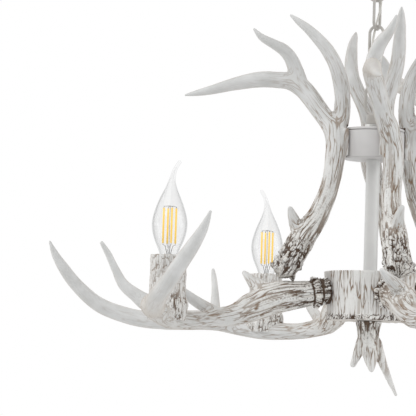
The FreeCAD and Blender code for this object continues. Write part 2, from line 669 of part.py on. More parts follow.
# ---- build ---------------------------------------------------------------------------------
def main():
    export(mounting_bar(), "mounting_bar")
    export(canopy(), "canopy")
    export(canopy_pipe(), "canopy_pipe")
    export(canopy_nuts(), "canopy_nuts")
    export(canopy_loop(), "canopy_loop")
    for number in range(LINK_COUNT):
        export(chain_link(number), "chain_link_%d" % (number + 1))
    export(supply_cord(), "supply_cord")
    export(top_loop(), "top_loop")
    export(lock_nut(), "lock_nut")
    export(column_pipe(), "column_pipe")
    export(drum_lid(), "drum_lid")
    export(drum_body(), "drum_body")
    export(centre_tube(), "centre_tube")
    export(hub_shell(), "hub_shell")
    export(hub_cover(), "hub_cover")
    export(finial(), "finial")
    height = hub_middle + NECK_HEIGHT
    neck_directions = [NECK_DIRECTION + arm * QUARTER for arm in range(ARMS)]
    neck_wall = hub_wall_radius(height)
    export(antler_screws(neck_directions, height, neck_wall - HUB_WALL, neck_wall), "lower_antler_screws")
    export(antler_screws(pad_directions(), drum_middle, DRUM_RADIUS - DRUM_WALL, DRUM_RADIUS),
           "upper_antler_screws")
    lower = lower_antler()
    for arm in range(ARMS):
        export(upper_antler(arm), "upper_antler_%d" % (arm + 1))
        export(turned(lower, arm * QUARTER), "lower_antler_%d" % (arm + 1))
        export(candle_sleeve(arm), "candle_sleeve_%d" % (arm + 1))
        export(lampholder(arm), "lampholder_%d" % (arm + 1))
        export(bulb_cap(arm), "bulb_cap_%d" % (arm + 1))
        export(bulb_glass(arm), "bulb_glass_%d" % (arm + 1))
        export(bulb_stem(arm), "bulb_stem_%d" % (arm + 1))
        export(bulb_filaments(arm), "bulb_filaments_%d" % (arm + 1))
    export(holder_stems(), "holder_stems")
    export(holder_contacts(), "holder_contacts")


main()
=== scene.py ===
from math import ceil, cos, exp, pi, radians, sin

import bpy
import numpy as np
from mathutils import Matrix, Vector
from numpy.linalg import norm

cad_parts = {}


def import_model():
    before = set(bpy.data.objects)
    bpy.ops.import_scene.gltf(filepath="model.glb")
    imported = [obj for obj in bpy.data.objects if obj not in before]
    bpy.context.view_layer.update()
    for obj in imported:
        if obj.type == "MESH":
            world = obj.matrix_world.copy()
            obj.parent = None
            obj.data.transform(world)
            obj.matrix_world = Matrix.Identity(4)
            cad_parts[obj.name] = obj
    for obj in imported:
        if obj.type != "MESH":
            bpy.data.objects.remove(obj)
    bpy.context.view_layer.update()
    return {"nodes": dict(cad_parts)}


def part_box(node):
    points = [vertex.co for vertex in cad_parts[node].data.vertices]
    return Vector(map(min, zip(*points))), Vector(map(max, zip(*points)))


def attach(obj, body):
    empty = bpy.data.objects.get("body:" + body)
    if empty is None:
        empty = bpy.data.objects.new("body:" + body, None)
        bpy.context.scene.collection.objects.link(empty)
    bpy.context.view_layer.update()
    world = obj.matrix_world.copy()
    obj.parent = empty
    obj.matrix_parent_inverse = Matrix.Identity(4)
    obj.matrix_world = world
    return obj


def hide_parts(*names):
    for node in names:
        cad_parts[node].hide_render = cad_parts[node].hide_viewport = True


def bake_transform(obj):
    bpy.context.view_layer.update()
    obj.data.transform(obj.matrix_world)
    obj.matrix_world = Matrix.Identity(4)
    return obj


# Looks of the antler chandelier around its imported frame. Shapes are written in millimetres, as in
# the part's source, and MM turns them into Blender's metres as each mesh is made.

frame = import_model()

MM = 0.001
QUARTER = pi / 2
BODY = "chandelier_frame"
CEILING = "ceiling_fitting"


def box_mm(node):
    low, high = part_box(node)
    return np.array(low) / MM, np.array(high) / MM


def bottom_of(node):
    return box_mm(node)[0][2]


def top_of(node):
    return box_mm(node)[1][2]


# ---- heights and places, from the frame
DRUM_TOP, DRUM_BOTTOM = top_of("drum_lid"), bottom_of("drum_body")
HUB_TOP, HUB_BOTTOM = top_of("hub_shell"), bottom_of("hub_shell")
DRUM_MIDDLE = (DRUM_TOP + DRUM_BOTTOM) / 2
HUB_MIDDLE = (HUB_TOP + HUB_BOTTOM) / 2
DRUM_RADIUS = box_mm("drum_lid")[1][0]
CANOPY_RADIUS = box_mm("canopy")[1][0]
CANOPY_BOTTOM = bottom_of("canopy")

# ---- sizes of the solids, as in the part's source
HUB_TOP_RADIUS, HUB_BOTTOM_RADIUS = 47.0, 42.0
HUB_WALL, HUB_FLOOR, HUB_COVER = 7.0, 6.0, 2.5
PIPE_HOLE, PIPE_BORE = 5.0 + 0.05, 3.4
TUBE_RADIUS, TUBE_BORE = 7.0, 5.5
DRUM_WALL, DRUM_LID, DRUM_GAP = 2.0, 2.5, 0.5
PAD_DIRECTION = radians(205.3)
PAD_LENGTH, PAD_WIDTH, PAD_HEIGHT = 12.0, 19.0, 29.0
SLEEVE_RADIUS, SLEEVE_WALL = 18.0, 3.0
SLEEVE_HEIGHT, SLEEVE_SKIRT = 50.0, 14.0
LINK_LENGTH, LINK_WIDTH, LINK_WIRE = 36.0, 18.0, 3.0
LOOP_WIDTH, LOOP_WIRE, COLLAR_RADIUS = 24.0, 3.5, 8
CHAIN_YAW = 24.0
CORD_RADIUS, CORD_SWING, CORD_BEND = 1.1, 4.2, 10.0

# ---- centrelines of arm 1's antlers: x, y, height, radius
# They are the solids' own, but brow tines and finial are a little fuller, as in the photo.
UPPER_BEAM = [
    (-88, -27, -133.5, 12.8), (-78.5, -25, -116.5, 13.5), (-70, -23, -100, 13.5),
    (-60.5, -21, -85.5, 12), (-54, -20, -75, 10.5), (-48, -19, -60.5, 10), (-43.5, -19, -47.5, 10),
    (-40, -20, -31, 10), (-38.5, -20, -15, 10.5), (-38, -18, -1, 10.5), (-41, -14, 13, 10.8),
    (-49, -9, 24.5, 9.5), (-56.5, -6, 34.5, 9.3), (-66, -2, 47.5, 9.6), (-76, 1.5, 58, 9.8),
    (-87, 4, 63.5, 9), (-99, 4, 64.5, 8.5), (-118, 3, 64.5, 8.2), (-142, 1, 59.5, 6.8),
    (-165.5, -1, 52.5, 5), (-181, -3, 48.5, 3.4), (-194, -5, 45.5, 1.3),
]
UPPER_CROWN_TINE = [
    (-70, 0, 51, 7), (-77, 2, 62, 8.6), (-81.5, 2, 75, 8), (-87, -2, 87, 7), (-94.5, -7, 94.5, 6.2),
    (-104.5, -12, 99.5, 5), (-116.5, -16, 105.5, 3.8), (-125, -19, 114, 1.4),
]
UPPER_INNER_TINE = [
    (-40, -16, 6, 9), (-34.5, -12, 20, 9), (-32.5, -11, 33, 8.6), (-32.5, -13, 46, 8.2),
    (-35, -17.5, 61, 8), (-40, -21.5, 77, 7.6), (-49, -23, 92.5, 7), (-59, -23.5, 104, 6),
    (-69, -24, 113.5, 5), (-79.5, -24, 121.5, 3.5), (-88, -24, 128, 1.3),
]
UPPER_BROW_TINE = [
    (-70, -23, -103, 8), (-77, -26, -83, 6.2), (-80.5, -28, -74, 4.2), (-82.5, -30, -68, 2.4),
]
LOWER_BEAM = [
    (-40, -13, 1, 11.5), (-46.5, -17, 3, 12.3), (-48, -18, 3, 14.2), (-52, -19.3, 3, 14.2),
    (-54, -20, 2.5, 12.8), (-62, -22, 1, 13), (-76, -25, -1.5, 14.5), (-95, -31, -5, 16),
    (-116, -37, -14.5, 14.5), (-132.5, -43, -22.5, 11.8), (-150, -52, -27, 10),
    (-168, -71, -31, 8.8), (-182, -94, -32, 9.3), (-193, -117, -31, 10), (-201, -141, -27, 10.5),
    (-205, -166, -22, 11), (-203, -195, -22, 11), (-198, -225, -23.5, 10), (-196, -252, -22, 9.4),
    (-190, -280, -15, 8.7), (-181, -300, -5.5, 8), (-168, -319, 12, 7.3), (-157.7, -330, 26, 6.4),
    (-147.5, -340, 42, 4.3), (-141, -346.5, 57, 1.4),
]
LOWER_SIDE_TINE = [
    (-197, -155, -24, 8), (-211, -168, -18.5, 8.4), (-221, -170, -12, 6.6), (-233.5, -171, -2, 5.3),
    (-241.7, -172, 12.5, 4), (-249, -174, 27, 3.2), (-255.6, -176, 37.5, 2),
]
LOWER_BROW_TINE = [
    (-98, -33, -2, 9.5), (-108, -29, 3, 9), (-114, -24, 8, 7.5), (-121, -17, 14.5, 5),
    (-128, -10, 21.5, 2.4),
]
LOWER_REAR_TINE = [
    (-146, -48, -25, 6.5), (-166, -56, -15, 6), (-180, -63, -6, 5), (-193, -70, 4, 3.2),
    (-202, -74.5, 13, 1.4),
]
FINIAL_BODY = [(0, 0, 2, 14), (0, 0, -6, 12.4), (0, -0.5, -15, 11), (0.5, -1, -24, 8)]
FINIAL_TINES = [
    [(-1, 0, -10, 8), (-7, -1, -24, 6.3), (-12, -2, -37, 4.2), (-15.5, -2, -45.5, 2.8)],
    [(0, -2, -10, 9.5), (1, -5, -25, 9), (2.5, -8, -36, 7), (3.5, -11, -45, 4.4), (4, -13, -50.5, 2)],
    [(2, 1, -10, 7), (9, 4, -26, 6), (16, 6, -44, 4.2), (23, 6, -60, 2.8), (29.5, 4, -74, 1.4)],
]
# The rear-left upper antler is set 20 degrees round and rolled about its screw.
UPPER_TURNS = [0.0, QUARTER, 2 * QUARTER, 3 * QUARTER - radians(20)]
REAR_LEFT_ROLL = radians(-13)

# How rough and how brown a branch is: (share of its length, value).
UPPER_BEAM_ROUGH = [(0, 1), (0.08, 0.95), (0.16, 0.8), (0.28, 0.62), (0.36, 0.5), (0.5, 0.35),
                    (0.62, 0.25), (0.78, 0.1), (1, 0.02)]
UPPER_BEAM_WASH = [(0, 1), (0.06, 0.9), (0.12, 0.6), (0.22, 0.36), (0.34, 0.22), (0.45, 0.12),
                   (0.6, 0.08), (0.8, 0.03), (1, 0.02)]
LOWER_BEAM_ROUGH = [(0, 1), (0.06, 0.95), (0.12, 0.75), (0.2, 0.55), (0.3, 0.42), (0.42, 0.28),
                    (0.6, 0.18), (0.75, 0.12), (1, 0.03)]
LOWER_BEAM_WASH = [(0, 1), (0.05, 0.9), (0.09, 0.6), (0.15, 0.3), (0.3, 0.16), (0.42, 0.1),
                   (0.7, 0.08), (1, 0.02)]
INNER_LOOK = [(0, 0.4), (0.4, 0.3), (0.7, 0.1), (1, 0.03)], [(0, 0.15), (0.5, 0.12), (0.8, 0.03), (1, 0.02)]
TINE_LOOK = [(0, 0.3), (0.4, 0.08), (1, 0.02)], [(0, 0.12), (0.4, 0.03), (1, 0)]
BROW_LOOK = [(0, 0.8), (0.5, 0.35), (1, 0.05)], [(0, 0.4), (0.5, 0.15), (1, 0)]
FINIAL_LOOK = [(0, 0.9), (0.5, 0.6), (1, 0.1)], [(0, 0.7), (0.4, 0.35), (1, 0.03)]

# The branches of each, the beam first: centreline, roughness, brownness.
UPPER_BRANCHES = [(UPPER_BEAM, UPPER_BEAM_ROUGH, UPPER_BEAM_WASH), (UPPER_CROWN_TINE, *TINE_LOOK),
                  (UPPER_INNER_TINE, *INNER_LOOK), (UPPER_BROW_TINE, *BROW_LOOK)]
LOWER_BRANCHES = [(LOWER_BEAM, LOWER_BEAM_ROUGH, LOWER_BEAM_WASH), (LOWER_SIDE_TINE, *TINE_LOOK),
                  (LOWER_BROW_TINE, *BROW_LOOK), (LOWER_REAR_TINE, *TINE_LOOK)]
FINIAL_BRANCHES = [(FINIAL_BODY, [(0, 0.9), (1, 0.8)], [(0, 0.8), (1, 0.5)])]
FINIAL_BRANCHES += [(tine, *FINIAL_LOOK) for tine in FINIAL_TINES]

# Rings of beads: place along the beam, radius of the ring, size and number of beads, their spread.
UPPER_BEADS = [(1, 12.2, 3.2, 14, 2.5), (9, 13.4, 2.4, 13, 3.5), (18, 13.6, 2.0, 11, 4.0)]
LOWER_BEADS = [(16.5, 13.8, 2.9, 17, 1.2), (8.5, 12.6, 2.3, 16, 0.6)]
# Smooth rims that the beads of the coronet sit on: place along the beam, half their width.
LOWER_RIMS = [(16.5, 2.6), (8.5, 2.0)]

# Kinds of cracks: size and seed of the cells they run between and their width, then size and seed of
# the noise that lets them show, and the values over which it does.
COARSE_FURROWS = (4.4, 4.4, 1), 11, (0.02, 0.23), (5, 5, 26), 12, (-0.45, 0.1)
FINE_FURROWS = (2.6, 2.6, 1), 21, (0.03, 0.27), (4, 4, 13), 14, (-0.25, 0.2)
BURR_PITS = (2.7, 2.7, 6.0), 31, (0.03, 0.3), (3, 3, 6), 17, (-0.35, 0.1)
HUB_LINES = (4.2, 4.2, 1), 33, (0.02, 0.15), (5, 5, 26), 40, (-0.3, 0.1)
HUB_THREADS = (2.4, 2.4, 1), 34, (0.03, 0.18), (4, 4, 12), 35, (0.0, 0.35)
SLEEVE_CRACKS = (2.7, 2.7, 8.5), 43, (0.03, 0.24), (4, 4, 8), 50, (-0.6, 0.0)
SLEEVE_CHIPS = (1.9, 1.9, 3.4), 47, (0.03, 0.26), (5, 5, 7), 51, (-0.1, 0.4)
ALL_ALONG = (1, 1, 0)

# Bulb: height over the glass's base, sideways lean of the flame tip, radius.
GLASS_BASE = 36.0
GLASS_OUTLINE = [
    (0, 0, 7.4), (12, 0, 8.4), (20, 0, 11), (27, 0, 14), (35, 0, 16.4), (43, 0, 17.3), (51, 0, 16.4),
    (60, 0, 13.8), (69, 0.1, 10.3), (78, 0.5, 6.2), (87, 1.2, 3.3), (96, 3.2, 2.2), (102, 6.2, 1.9),
    (105, 8.2, 1.8),
]
GLASS_HOLLOW = GLASS_OUTLINE[:-4] + [(87, 1.2, 3.0), (94, 2.6, 1.6), (99, 4.6, 1.2)]
GLASS_WALL = 0.8
BULB_LEANS = [0.0, 75.0, 250.0, 180.0]
# Glass stem: a flare at the base, a pinch and the thin exhaust tube above it, as (radius, height).
STEM_OUTLINE = [(6.8, 0.9), (6.2, 3), (4.6, 6), (3.0, 9), (2.6, 13), (2.9, 15), (1.6, 17), (1.2, 21), (0.4, 22)]
FILAMENTS = 4
FILAMENT_START = 25.0
FILAMENT_LENGTH = 34.0
FILAMENT_SPREAD = 6.3
FILAMENT_TURN = radians(22)
FILAMENT_RADIUS = 0.95
CAP_THREADS = 6
THREAD_STEPS = 6

FINE = 1.0
BLEND_WIDTH = 2.5
CHUNK = 4000


# ---- repeatable noise
def lattice(cells, seed):
    """A repeatable number from -1 to 1 for each whole-number cell."""
    mixed = cells[:, 0] * 374761393 + cells[:, 1] * 668265263 + cells[:, 2] * 362437 + seed * 974634777
    mixed = (mixed ^ (mixed >> 13)) * 1274126177
    mixed = mixed ^ (mixed >> 16)
    return (mixed & 0xFFFF) / 32767.5 - 1


def noise(points, size, seed):
    """Smooth noise from -1 to 1 at points, with cells of the given size (x, y, z)."""
    scaled = points / np.array(size, float) + seed * 7.31
    cell = np.floor(scaled).astype(np.int64)
    part = scaled - cell
    part = part * part * (3 - 2 * part)
    return sum(np.prod(np.where(corner, part, 1 - part), axis=1) * lattice(cell + corner, seed)
               for corner in np.ndindex(2, 2, 2))


def sideways(points, size, seed):
    """Smooth noise in x and y, and none in z."""
    return np.column_stack([noise(points, size, seed), noise(points, size, seed + 1), np.zeros(len(points))])


def scattered(points, size, seed):
    """Distance to the nearest scattered point, the gap to the next, and the nearest's own number."""
    scaled = points / np.array(size, float)
    cell = np.floor(scaled).astype(np.int64)
    near = following = own = np.full(len(points), 9.0)
    for step in np.ndindex(3, 3, 3):
        other = cell + step - 1
        middle = other + 0.5 + 0.42 * np.column_stack([lattice(other, seed + k) for k in range(3)])
        distance = norm(scaled - middle, axis=1)
        closer = distance < near
        following = np.where(closer, near, np.minimum(following, distance))
        own = np.where(closer, lattice(other, seed + 3), own)
        near = np.where(closer, distance, near)
    return near, following - near, own


def ease(values, low, high):
    """0 below low and 1 above high, smoothly."""
    share = np.clip((values - low) / (high - low), 0, 1)
    return share * share * (3 - 2 * share)


def cracks(cells, where, size, seed, width, patch, patch_seed, shown):
    """1 on the lines between cells, where a noise lets them show, and each cell's own number."""
    gap, own = scattered(cells, size, seed)[1:]
    return (1 - ease(gap, *width)) * ease(noise(where, patch, patch_seed), *shown), own


# ---- mesh helpers
def add_object(name, data):
    made = bpy.data.objects.new(name, data)
    bpy.context.scene.collection.objects.link(made)
    return made


def shade_smooth(mesh):
    mesh.polygons.foreach_set("use_smooth", [True] * len(mesh.polygons))


def make_object(name, vertices, faces):
    """A smooth mesh from points in millimetres."""
    mesh = bpy.data.meshes.new(name)
    mesh.from_pydata((np.asarray(vertices, float) * MM).tolist(), [], faces)
    mesh.validate()
    shade_smooth(mesh)
    return add_object(name, mesh)


def read_vectors(made, kind):
    flat = np.zeros(len(made.data.vertices) * 3)
    made.data.vertices.foreach_get(kind, flat)
    return flat.reshape(-1, 3)


def read_points(made):
    return read_vectors(made, "co") / MM


def write_points(made, points):
    made.data.vertices.foreach_set("co", (points * MM).astype(np.float32).ravel())
    made.data.update()


def give_values(made, **values):
    """Stores numbers, or vectors, at each vertex for the materials to read."""
    for name, rows in values.items():
        kind, key = ("FLOAT_VECTOR", "vector") if rows.ndim == 2 else ("FLOAT", "value")
        attribute = made.data.attributes.new(name, kind, "POINT")
        attribute.data.foreach_set(key, rows.astype(np.float32).ravel())


def unit(vector):
    return vector / norm(vector)


def axis_distance(points):
    return np.hypot(points[:, 0], points[:, 1])


def smooth_line(points, step):
    """A smooth curve through the points, sampled about one step apart."""
    rows = np.array(points, float)
    rows = np.vstack([2 * rows[0] - rows[1], rows, 2 * rows[-1] - rows[-2]])
    line = []
    for a, b, c, d in zip(rows, rows[1:], rows[2:], rows[3:]):
        count = max(2, int(norm(c[:3] - b[:3]) / step))
        for t in np.arange(count) / count:
            line.append(0.5 * (2 * b + (c - a) * t + (2 * a - 5 * b + 4 * c - d) * t * t
                               + (3 * b - a - 3 * c + d) * t ** 3))
    line.append(rows[-2])
    return np.array(line)


def frames_along(line, first=None, closed=False):
    """Direction, side and cross vectors along a line, turned as little as possible."""
    centres = line[:, :3]
    if closed:
        along = np.roll(centres, -1, axis=0) - np.roll(centres, 1, axis=0)
    else:
        along = np.gradient(centres, axis=0)
    along /= norm(along, axis=1)[:, None]
    if first is None:
        first = np.array([0, 0, 1.0]) if abs(along[0][2]) < 0.8 else np.array([1.0, 0, 0])
    sides = []
    for direction in along:
        first = unit(first - direction * (first @ direction))
        sides.append(first)
    sides = np.array(sides)
    return along, sides, np.cross(along, sides)


def ring_faces(rows, count, closed=False):
    """Faces between rings of points, and from the last to the first if closed."""
    steps = [(k * count, (k + 1) % rows * count) for k in range(rows if closed else rows - 1)]
    turns = [(j, (j + 1) % count) for j in range(count)]
    return [(low + j, low + after, high + after, high + j) for low, high in steps for j, after in turns]


def close_end(vertices, faces, row, count, tip, forward):
    """Closes one ring of points with faces that meet at a tip."""
    vertices.append(tip.tolist())
    for j in range(count):
        pair = (row * count + j, row * count + (j + 1) % count)
        faces.append((len(vertices) - 1,) + (pair if forward else pair[::-1]))


def tube(line, count, closed=False, first=None):
    """Vertices and faces of a round-ended tube along a line of (x, y, z, radius)."""
    along, sides, across = frames_along(line, first, closed)
    angles = (np.arange(count) * 2 * pi / count)[:, None]
    rings = line[:, None, :3] + line[:, None, 3:] * (np.cos(angles) * sides[:, None, :]
                                                     + np.sin(angles) * across[:, None, :])
    vertices = rings.reshape(-1, 3).tolist()
    faces = ring_faces(len(line), count, closed)
    if not closed:
        for end, sign in ((0, -1), (len(line) - 1, 1)):
            tip = line[end, :3] + along[end] * sign * line[end, 3] * 0.6
            close_end(vertices, faces, end, count, tip, sign > 0)
    return vertices, faces


def lathe(profile, count, x=0.0, y=0.0, closed=True):
    """Vertices and faces of an outline of (radius, height) turned about an upright axis."""
    outline = np.array(profile, float)
    angles = np.arange(count) * 2 * pi / count
    rings = np.empty((len(outline), count, 3))
    rings[:, :, 0] = x + outline[:, :1] * np.cos(angles)
    rings[:, :, 1] = y + outline[:, :1] * np.sin(angles)
    rings[:, :, 2] = outline[:, 1:]
    return rings.reshape(-1, 3).tolist(), ring_faces(len(outline), count, closed)


def rounded(corners, radius, steps=5):
    """A closed outline with each of its corners rounded."""
    line = []
    for before, corner, after in zip(corners[-1:] + corners[:-1], corners, corners[1:] + corners[:1]):
        corner = np.array(corner, float)
        into, out = np.array(before) - corner, np.array(after) - corner
        reach = min(radius, 0.45 * norm(into), 0.45 * norm(out))
        start, end = corner + unit(into) * reach, corner + unit(out) * reach
        for t in np.linspace(0, 1, steps):
            line.append((1 - t) ** 2 * start + 2 * t * (1 - t) * corner + t * t * end)
    return line


def dense(profile, step):
    """A closed outline with no stretch longer than one step."""
    line = []
    for a, b in zip(profile, profile[1:] + profile[:1]):
        count = max(1, ceil(norm(b - a) / step))
        line += [a + (b - a) * k / count for k in range(count)]
    return line


def merged(parts):
    """Several (vertices, faces) as one."""
    vertices, faces = [], []
    for points, polygons in parts:
        start = len(vertices)
        vertices += list(points)
        faces += [tuple(start + k for k in polygon) for polygon in polygons]
    return vertices, faces


def knob(centre, radii, turn):
    """A small ellipsoid, to be melted into a surface."""
    count, rows = 8, 5
    basis = np.array(Matrix.Rotation(turn, 3, "Z") @ Matrix.Rotation(turn * 1.7, 3, "X"))
    ups = [pi * k / rows for k in range(1, rows)]
    ball, faces = lathe([(sin(up), cos(up)) for up in ups], count, closed=False)
    vertices = [(centre + basis @ (np.array(point) * radii)).tolist() for point in ball]
    # The rings go down from the top, so each face is turned over.
    faces = [face[:1] + face[:0:-1] for face in faces]
    for pole, row in ((1, 0), (-1, rows - 2)):
        close_end(vertices, faces, row, count, centre + basis @ (np.array([0, 0, pole]) * radii), pole > 0)
    return vertices, faces


def soften(made, rounds, hold=0.0):
    """Evens out a mesh, less where hold is near 1."""
    points = read_points(made)
    ends = np.zeros(len(made.data.edges) * 2, int)
    made.data.edges.foreach_get("vertices", ends)
    one, other = ends.reshape(-1, 2).T
    count = np.bincount(ends, minlength=len(points))
    for _ in range(rounds):
        for axis in range(3):
            row = points[:, axis]
            total = np.bincount(one, row[other], len(points)) + np.bincount(other, row[one], len(points))
            points[:, axis] += (total / count - row) * 0.5 * (1 - hold)
    write_points(made, points)


def melt(made, size):
    """Joins overlapping closed shapes into one even mesh."""
    remesh = made.modifiers.new("melt", "REMESH")
    remesh.mode = "VOXEL"
    remesh.voxel_size = size * MM
    melted = bpy.data.meshes.new_from_object(made.evaluated_get(bpy.context.evaluated_depsgraph_get()))
    made.modifiers.clear()
    old, made.data = made.data, melted
    bpy.data.meshes.remove(old)
    melted.name = made.name
    shade_smooth(melted)


# The materials, by name.
LOOKS = {}


def finish_piece(made, body, look, *nodes):
    """Gives a piece its material and body, and hides the CAD nodes it stands for."""
    made.data.materials.clear()
    made.data.materials.append(LOOKS[look])
    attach(made, body)
    if nodes:
        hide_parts(*nodes)


def piece(name, shape, body, look, *nodes):
    finish_piece(make_object(name, *shape), body, look, *nodes)


# ---- branches: the smooth centrelines that grain and furrows follow
def branch(points, rough, wash, height, parent=None):
    """A sampled centreline with its frames, roughness and wash."""
    line = smooth_line([(x, y, z + height, radius) for x, y, z, radius in points], 1.5)
    reach = np.concatenate([[0], np.cumsum(norm(np.diff(line[:, :3], axis=0), axis=1))])
    share = reach / reach[-1]
    first = None
    if parent is not None:
        nearest = np.argmin(norm(parent["line"][:, :3] - line[0, :3], axis=1))
        first = parent["side"][nearest]
        reach = reach + parent["reach"][nearest]
    along, side, cross = frames_along(line, first)
    return {
        "line": line, "reach": reach, "side": side, "cross": cross, "along": along, "first": first,
        "rough": np.interp(share, *zip(*rough)), "wash": np.interp(share, *zip(*wash)),
    }


def grown(rows, height):
    """The beam and the tines that leave it, from their rows."""
    beam = branch(*rows[0], height)
    return [beam] + [branch(*row, height, beam) for row in rows[1:]]


def grain_of(points, branches):
    """Each point's place in the branches' own grain, and their roughness, wash and thickness there."""
    depths, found = [], []
    for one in branches:
        nearest = np.empty(len(points), int)
        for k in range(0, len(points), CHUNK):
            gap = points[k:k + CHUNK, None, :] - one["line"][None, :, :3]
            nearest[k:k + CHUNK] = np.argmin((gap ** 2).sum(axis=2), axis=1)
        offset = points - one["line"][nearest, :3]
        radius = one["line"][nearest, 3]
        depths.append(norm(offset, axis=1) - radius)
        across, aside, ahead = [(offset * one[name][nearest]).sum(axis=1) for name in ("cross", "side", "along")]
        around = np.arctan2(across, aside)
        wide = 4 + 0.65 * radius
        found.append(np.column_stack([np.cos(around) * wide, np.sin(around) * wide, one["reach"][nearest] + ahead,
                                      one["rough"][nearest], one["wash"][nearest], radius]))
    weights = np.exp(-(np.array(depths) - np.min(depths, axis=0)) / BLEND_WIDTH)[:, :, None]
    mean = (np.array(found) * weights).sum(axis=0) / weights.sum(axis=0)
    return mean[:, :3], mean[:, 3], mean[:, 4], mean[:, 5]


def rims_of(grain, rims):
    """Beaded rims round a branch: 1 on the beads, and 1 in the gaps beside and between them."""
    beaded = gaps = np.zeros(len(grain))
    gap = scattered(grain * ALL_ALONG, (4.4, 4.4, 1), 61)[1]
    for at, half in rims:
        away = abs(grain[:, 2] - at)
        band = 1 - ease(away, half * 0.7, half * 1.2)
        beside = ease(away, half * 0.8, half * 1.3) * (1 - ease(away, half + 1.5, half + 3.5))
        beaded = np.maximum(beaded, band * ease(gap, 0.05, 0.3))
        gaps = np.maximum(gaps, np.maximum(beside, band * (1 - ease(gap, 0.03, 0.22))))
    return beaded, gaps


def furrow(made, branches, depth, pitted, rims, fitted, upright=False):
    """Cuts furrows that follow the grain, fits the points to what they touch, and paints shade where they touch it."""
    points, normals = read_points(made), read_vectors(made, "normal")
    grain, rough, wash, thick = grain_of(points, branches)
    if upright:
        grain = points.copy()
    wander = sideways(grain, (7, 7, 26), 3)
    bent = grain + wander * 1.6
    columns = bent * ALL_ALONG
    burr = pitted * ease(rough, 0.82, 0.96)
    coarse = cracks(columns, bent, *COARSE_FURROWS)[0] * (1 - 0.7 * burr)
    fine, own = cracks(columns + 9, bent, *FINE_FURROWS)
    pits, chunk = cracks(bent + 0.9 * wander, bent, *BURR_PITS)
    pits = pits * burr
    beaded, gaps = rims_of(grain, rims)
    swell = noise(bent, (8, 8, 38), 16) * 0.5 + noise(points, (16, 16, 16), 18) * 0.35
    cut = depth * (rough * (coarse + 0.6 * fine + 0.15 * own) + 1.3 * pits - 0.4 * burr * chunk)
    lift = swell * (0.3 + 0.7 * rough) - cut * (1 - beaded) + 0.15 * rough * depth + beaded - 0.9 * gaps
    points = points + normals * (lift * ease(thick, 0.5, 6.0))[:, None]
    # Painted shade: dark is 1 where the points touch the drum or hub, and darkens the resin there.
    dark = fitted(points)
    write_points(made, points)
    groove = np.clip(coarse + 0.7 * fine + 1.2 * pits, 0, 1) * ease(rough, 0.05, 0.6)
    groove = np.clip(groove * (1 - beaded) + gaps, 0, 1)
    give_values(made, groove=np.maximum(groove, dark), rough=rough, wash=np.maximum(wash, dark), grain=grain)


# ---- materials
SPECULAR = "Specular IOR Level"


class Nodes:
    """The emptied node tree of a material or the world, with short ways to add to it."""

    def __init__(self, owner):
        owner.use_nodes = True
        self.tree = owner.node_tree
        self.tree.nodes.clear()

    def add(self, kind, inputs, **settings):
        """A node with its settings, its numbers and its links."""
        node = self.tree.nodes.new("ShaderNode" + kind)
        for name, value in settings.items():
            setattr(node, name, value)
        for name, value in inputs.items():
            if isinstance(value, bpy.types.NodeSocket):
                self.tree.links.new(value, node.inputs[name])
            else:
                node.inputs[name].default_value = value
        return node

    def out(self, kind, inputs, output=0, **settings):
        return self.add(kind, inputs, **settings).outputs[output]

    def calculate(self, operation, a, b, clamp=False):
        return self.out("Math", {0: a, 1: b}, operation=operation, use_clamp=clamp)

    def times(self, a, b, clamp=False):
        return self.calculate("MULTIPLY", a, b, clamp)

    def blend(self, factor, a, b):
        return self.out("Mix", {0: factor, 6: a, 7: b}, 2, data_type="RGBA")

    def step(self, value, low, high):
        """0 below low and 1 above high, smoothly."""
        return self.out("MapRange", {0: value, 1: low, 2: high}, interpolation_type="SMOOTHSTEP")

    def spread(self, value, low, high):
        """From low where the value is 0 to high where it is 1."""
        return self.out("MapRange", {0: value, 3: low, 4: high})

    def stored(self, name, output="Fac"):
        return self.out("Attribute", {}, output, attribute_name=name, attribute_type="GEOMETRY")

    def place(self):
        return self.out("TexCoord", {}, "Object")

    def facing(self, blend, power):
        """0 where a surface faces the eye, rising to 1 at its rim."""
        return self.calculate("POWER", self.out("LayerWeight", {"Blend": blend}, "Facing"), power)

    def stretched(self, where, scale):
        return self.out("Mapping", {"Vector": where, "Scale": scale})

    def cloud(self, where, scale, detail=3.0, rough=0.5, output="Fac"):
        inputs = {"Vector": where, "Scale": scale, "Detail": detail, "Roughness": rough}
        return self.out("TexNoise", inputs, output)

    def close(self, colour, roughness, bump=None, bump_depth=0.0, numbers={}):
        """Ends a material in one Principled shader. Its bump depth is in metres."""
        inputs = {"Base Color": colour, "Roughness": roughness, **numbers}
        if bump is not None:
            inputs["Normal"] = self.out("Bump", {"Height": bump, "Distance": bump_depth, "Strength": 1.0})
        self.add("OutputMaterial", {0: self.out("BsdfPrincipled", inputs)})


def new_look(name):
    LOOKS[name] = bpy.data.materials.new(name)
    return Nodes(LOOKS[name])


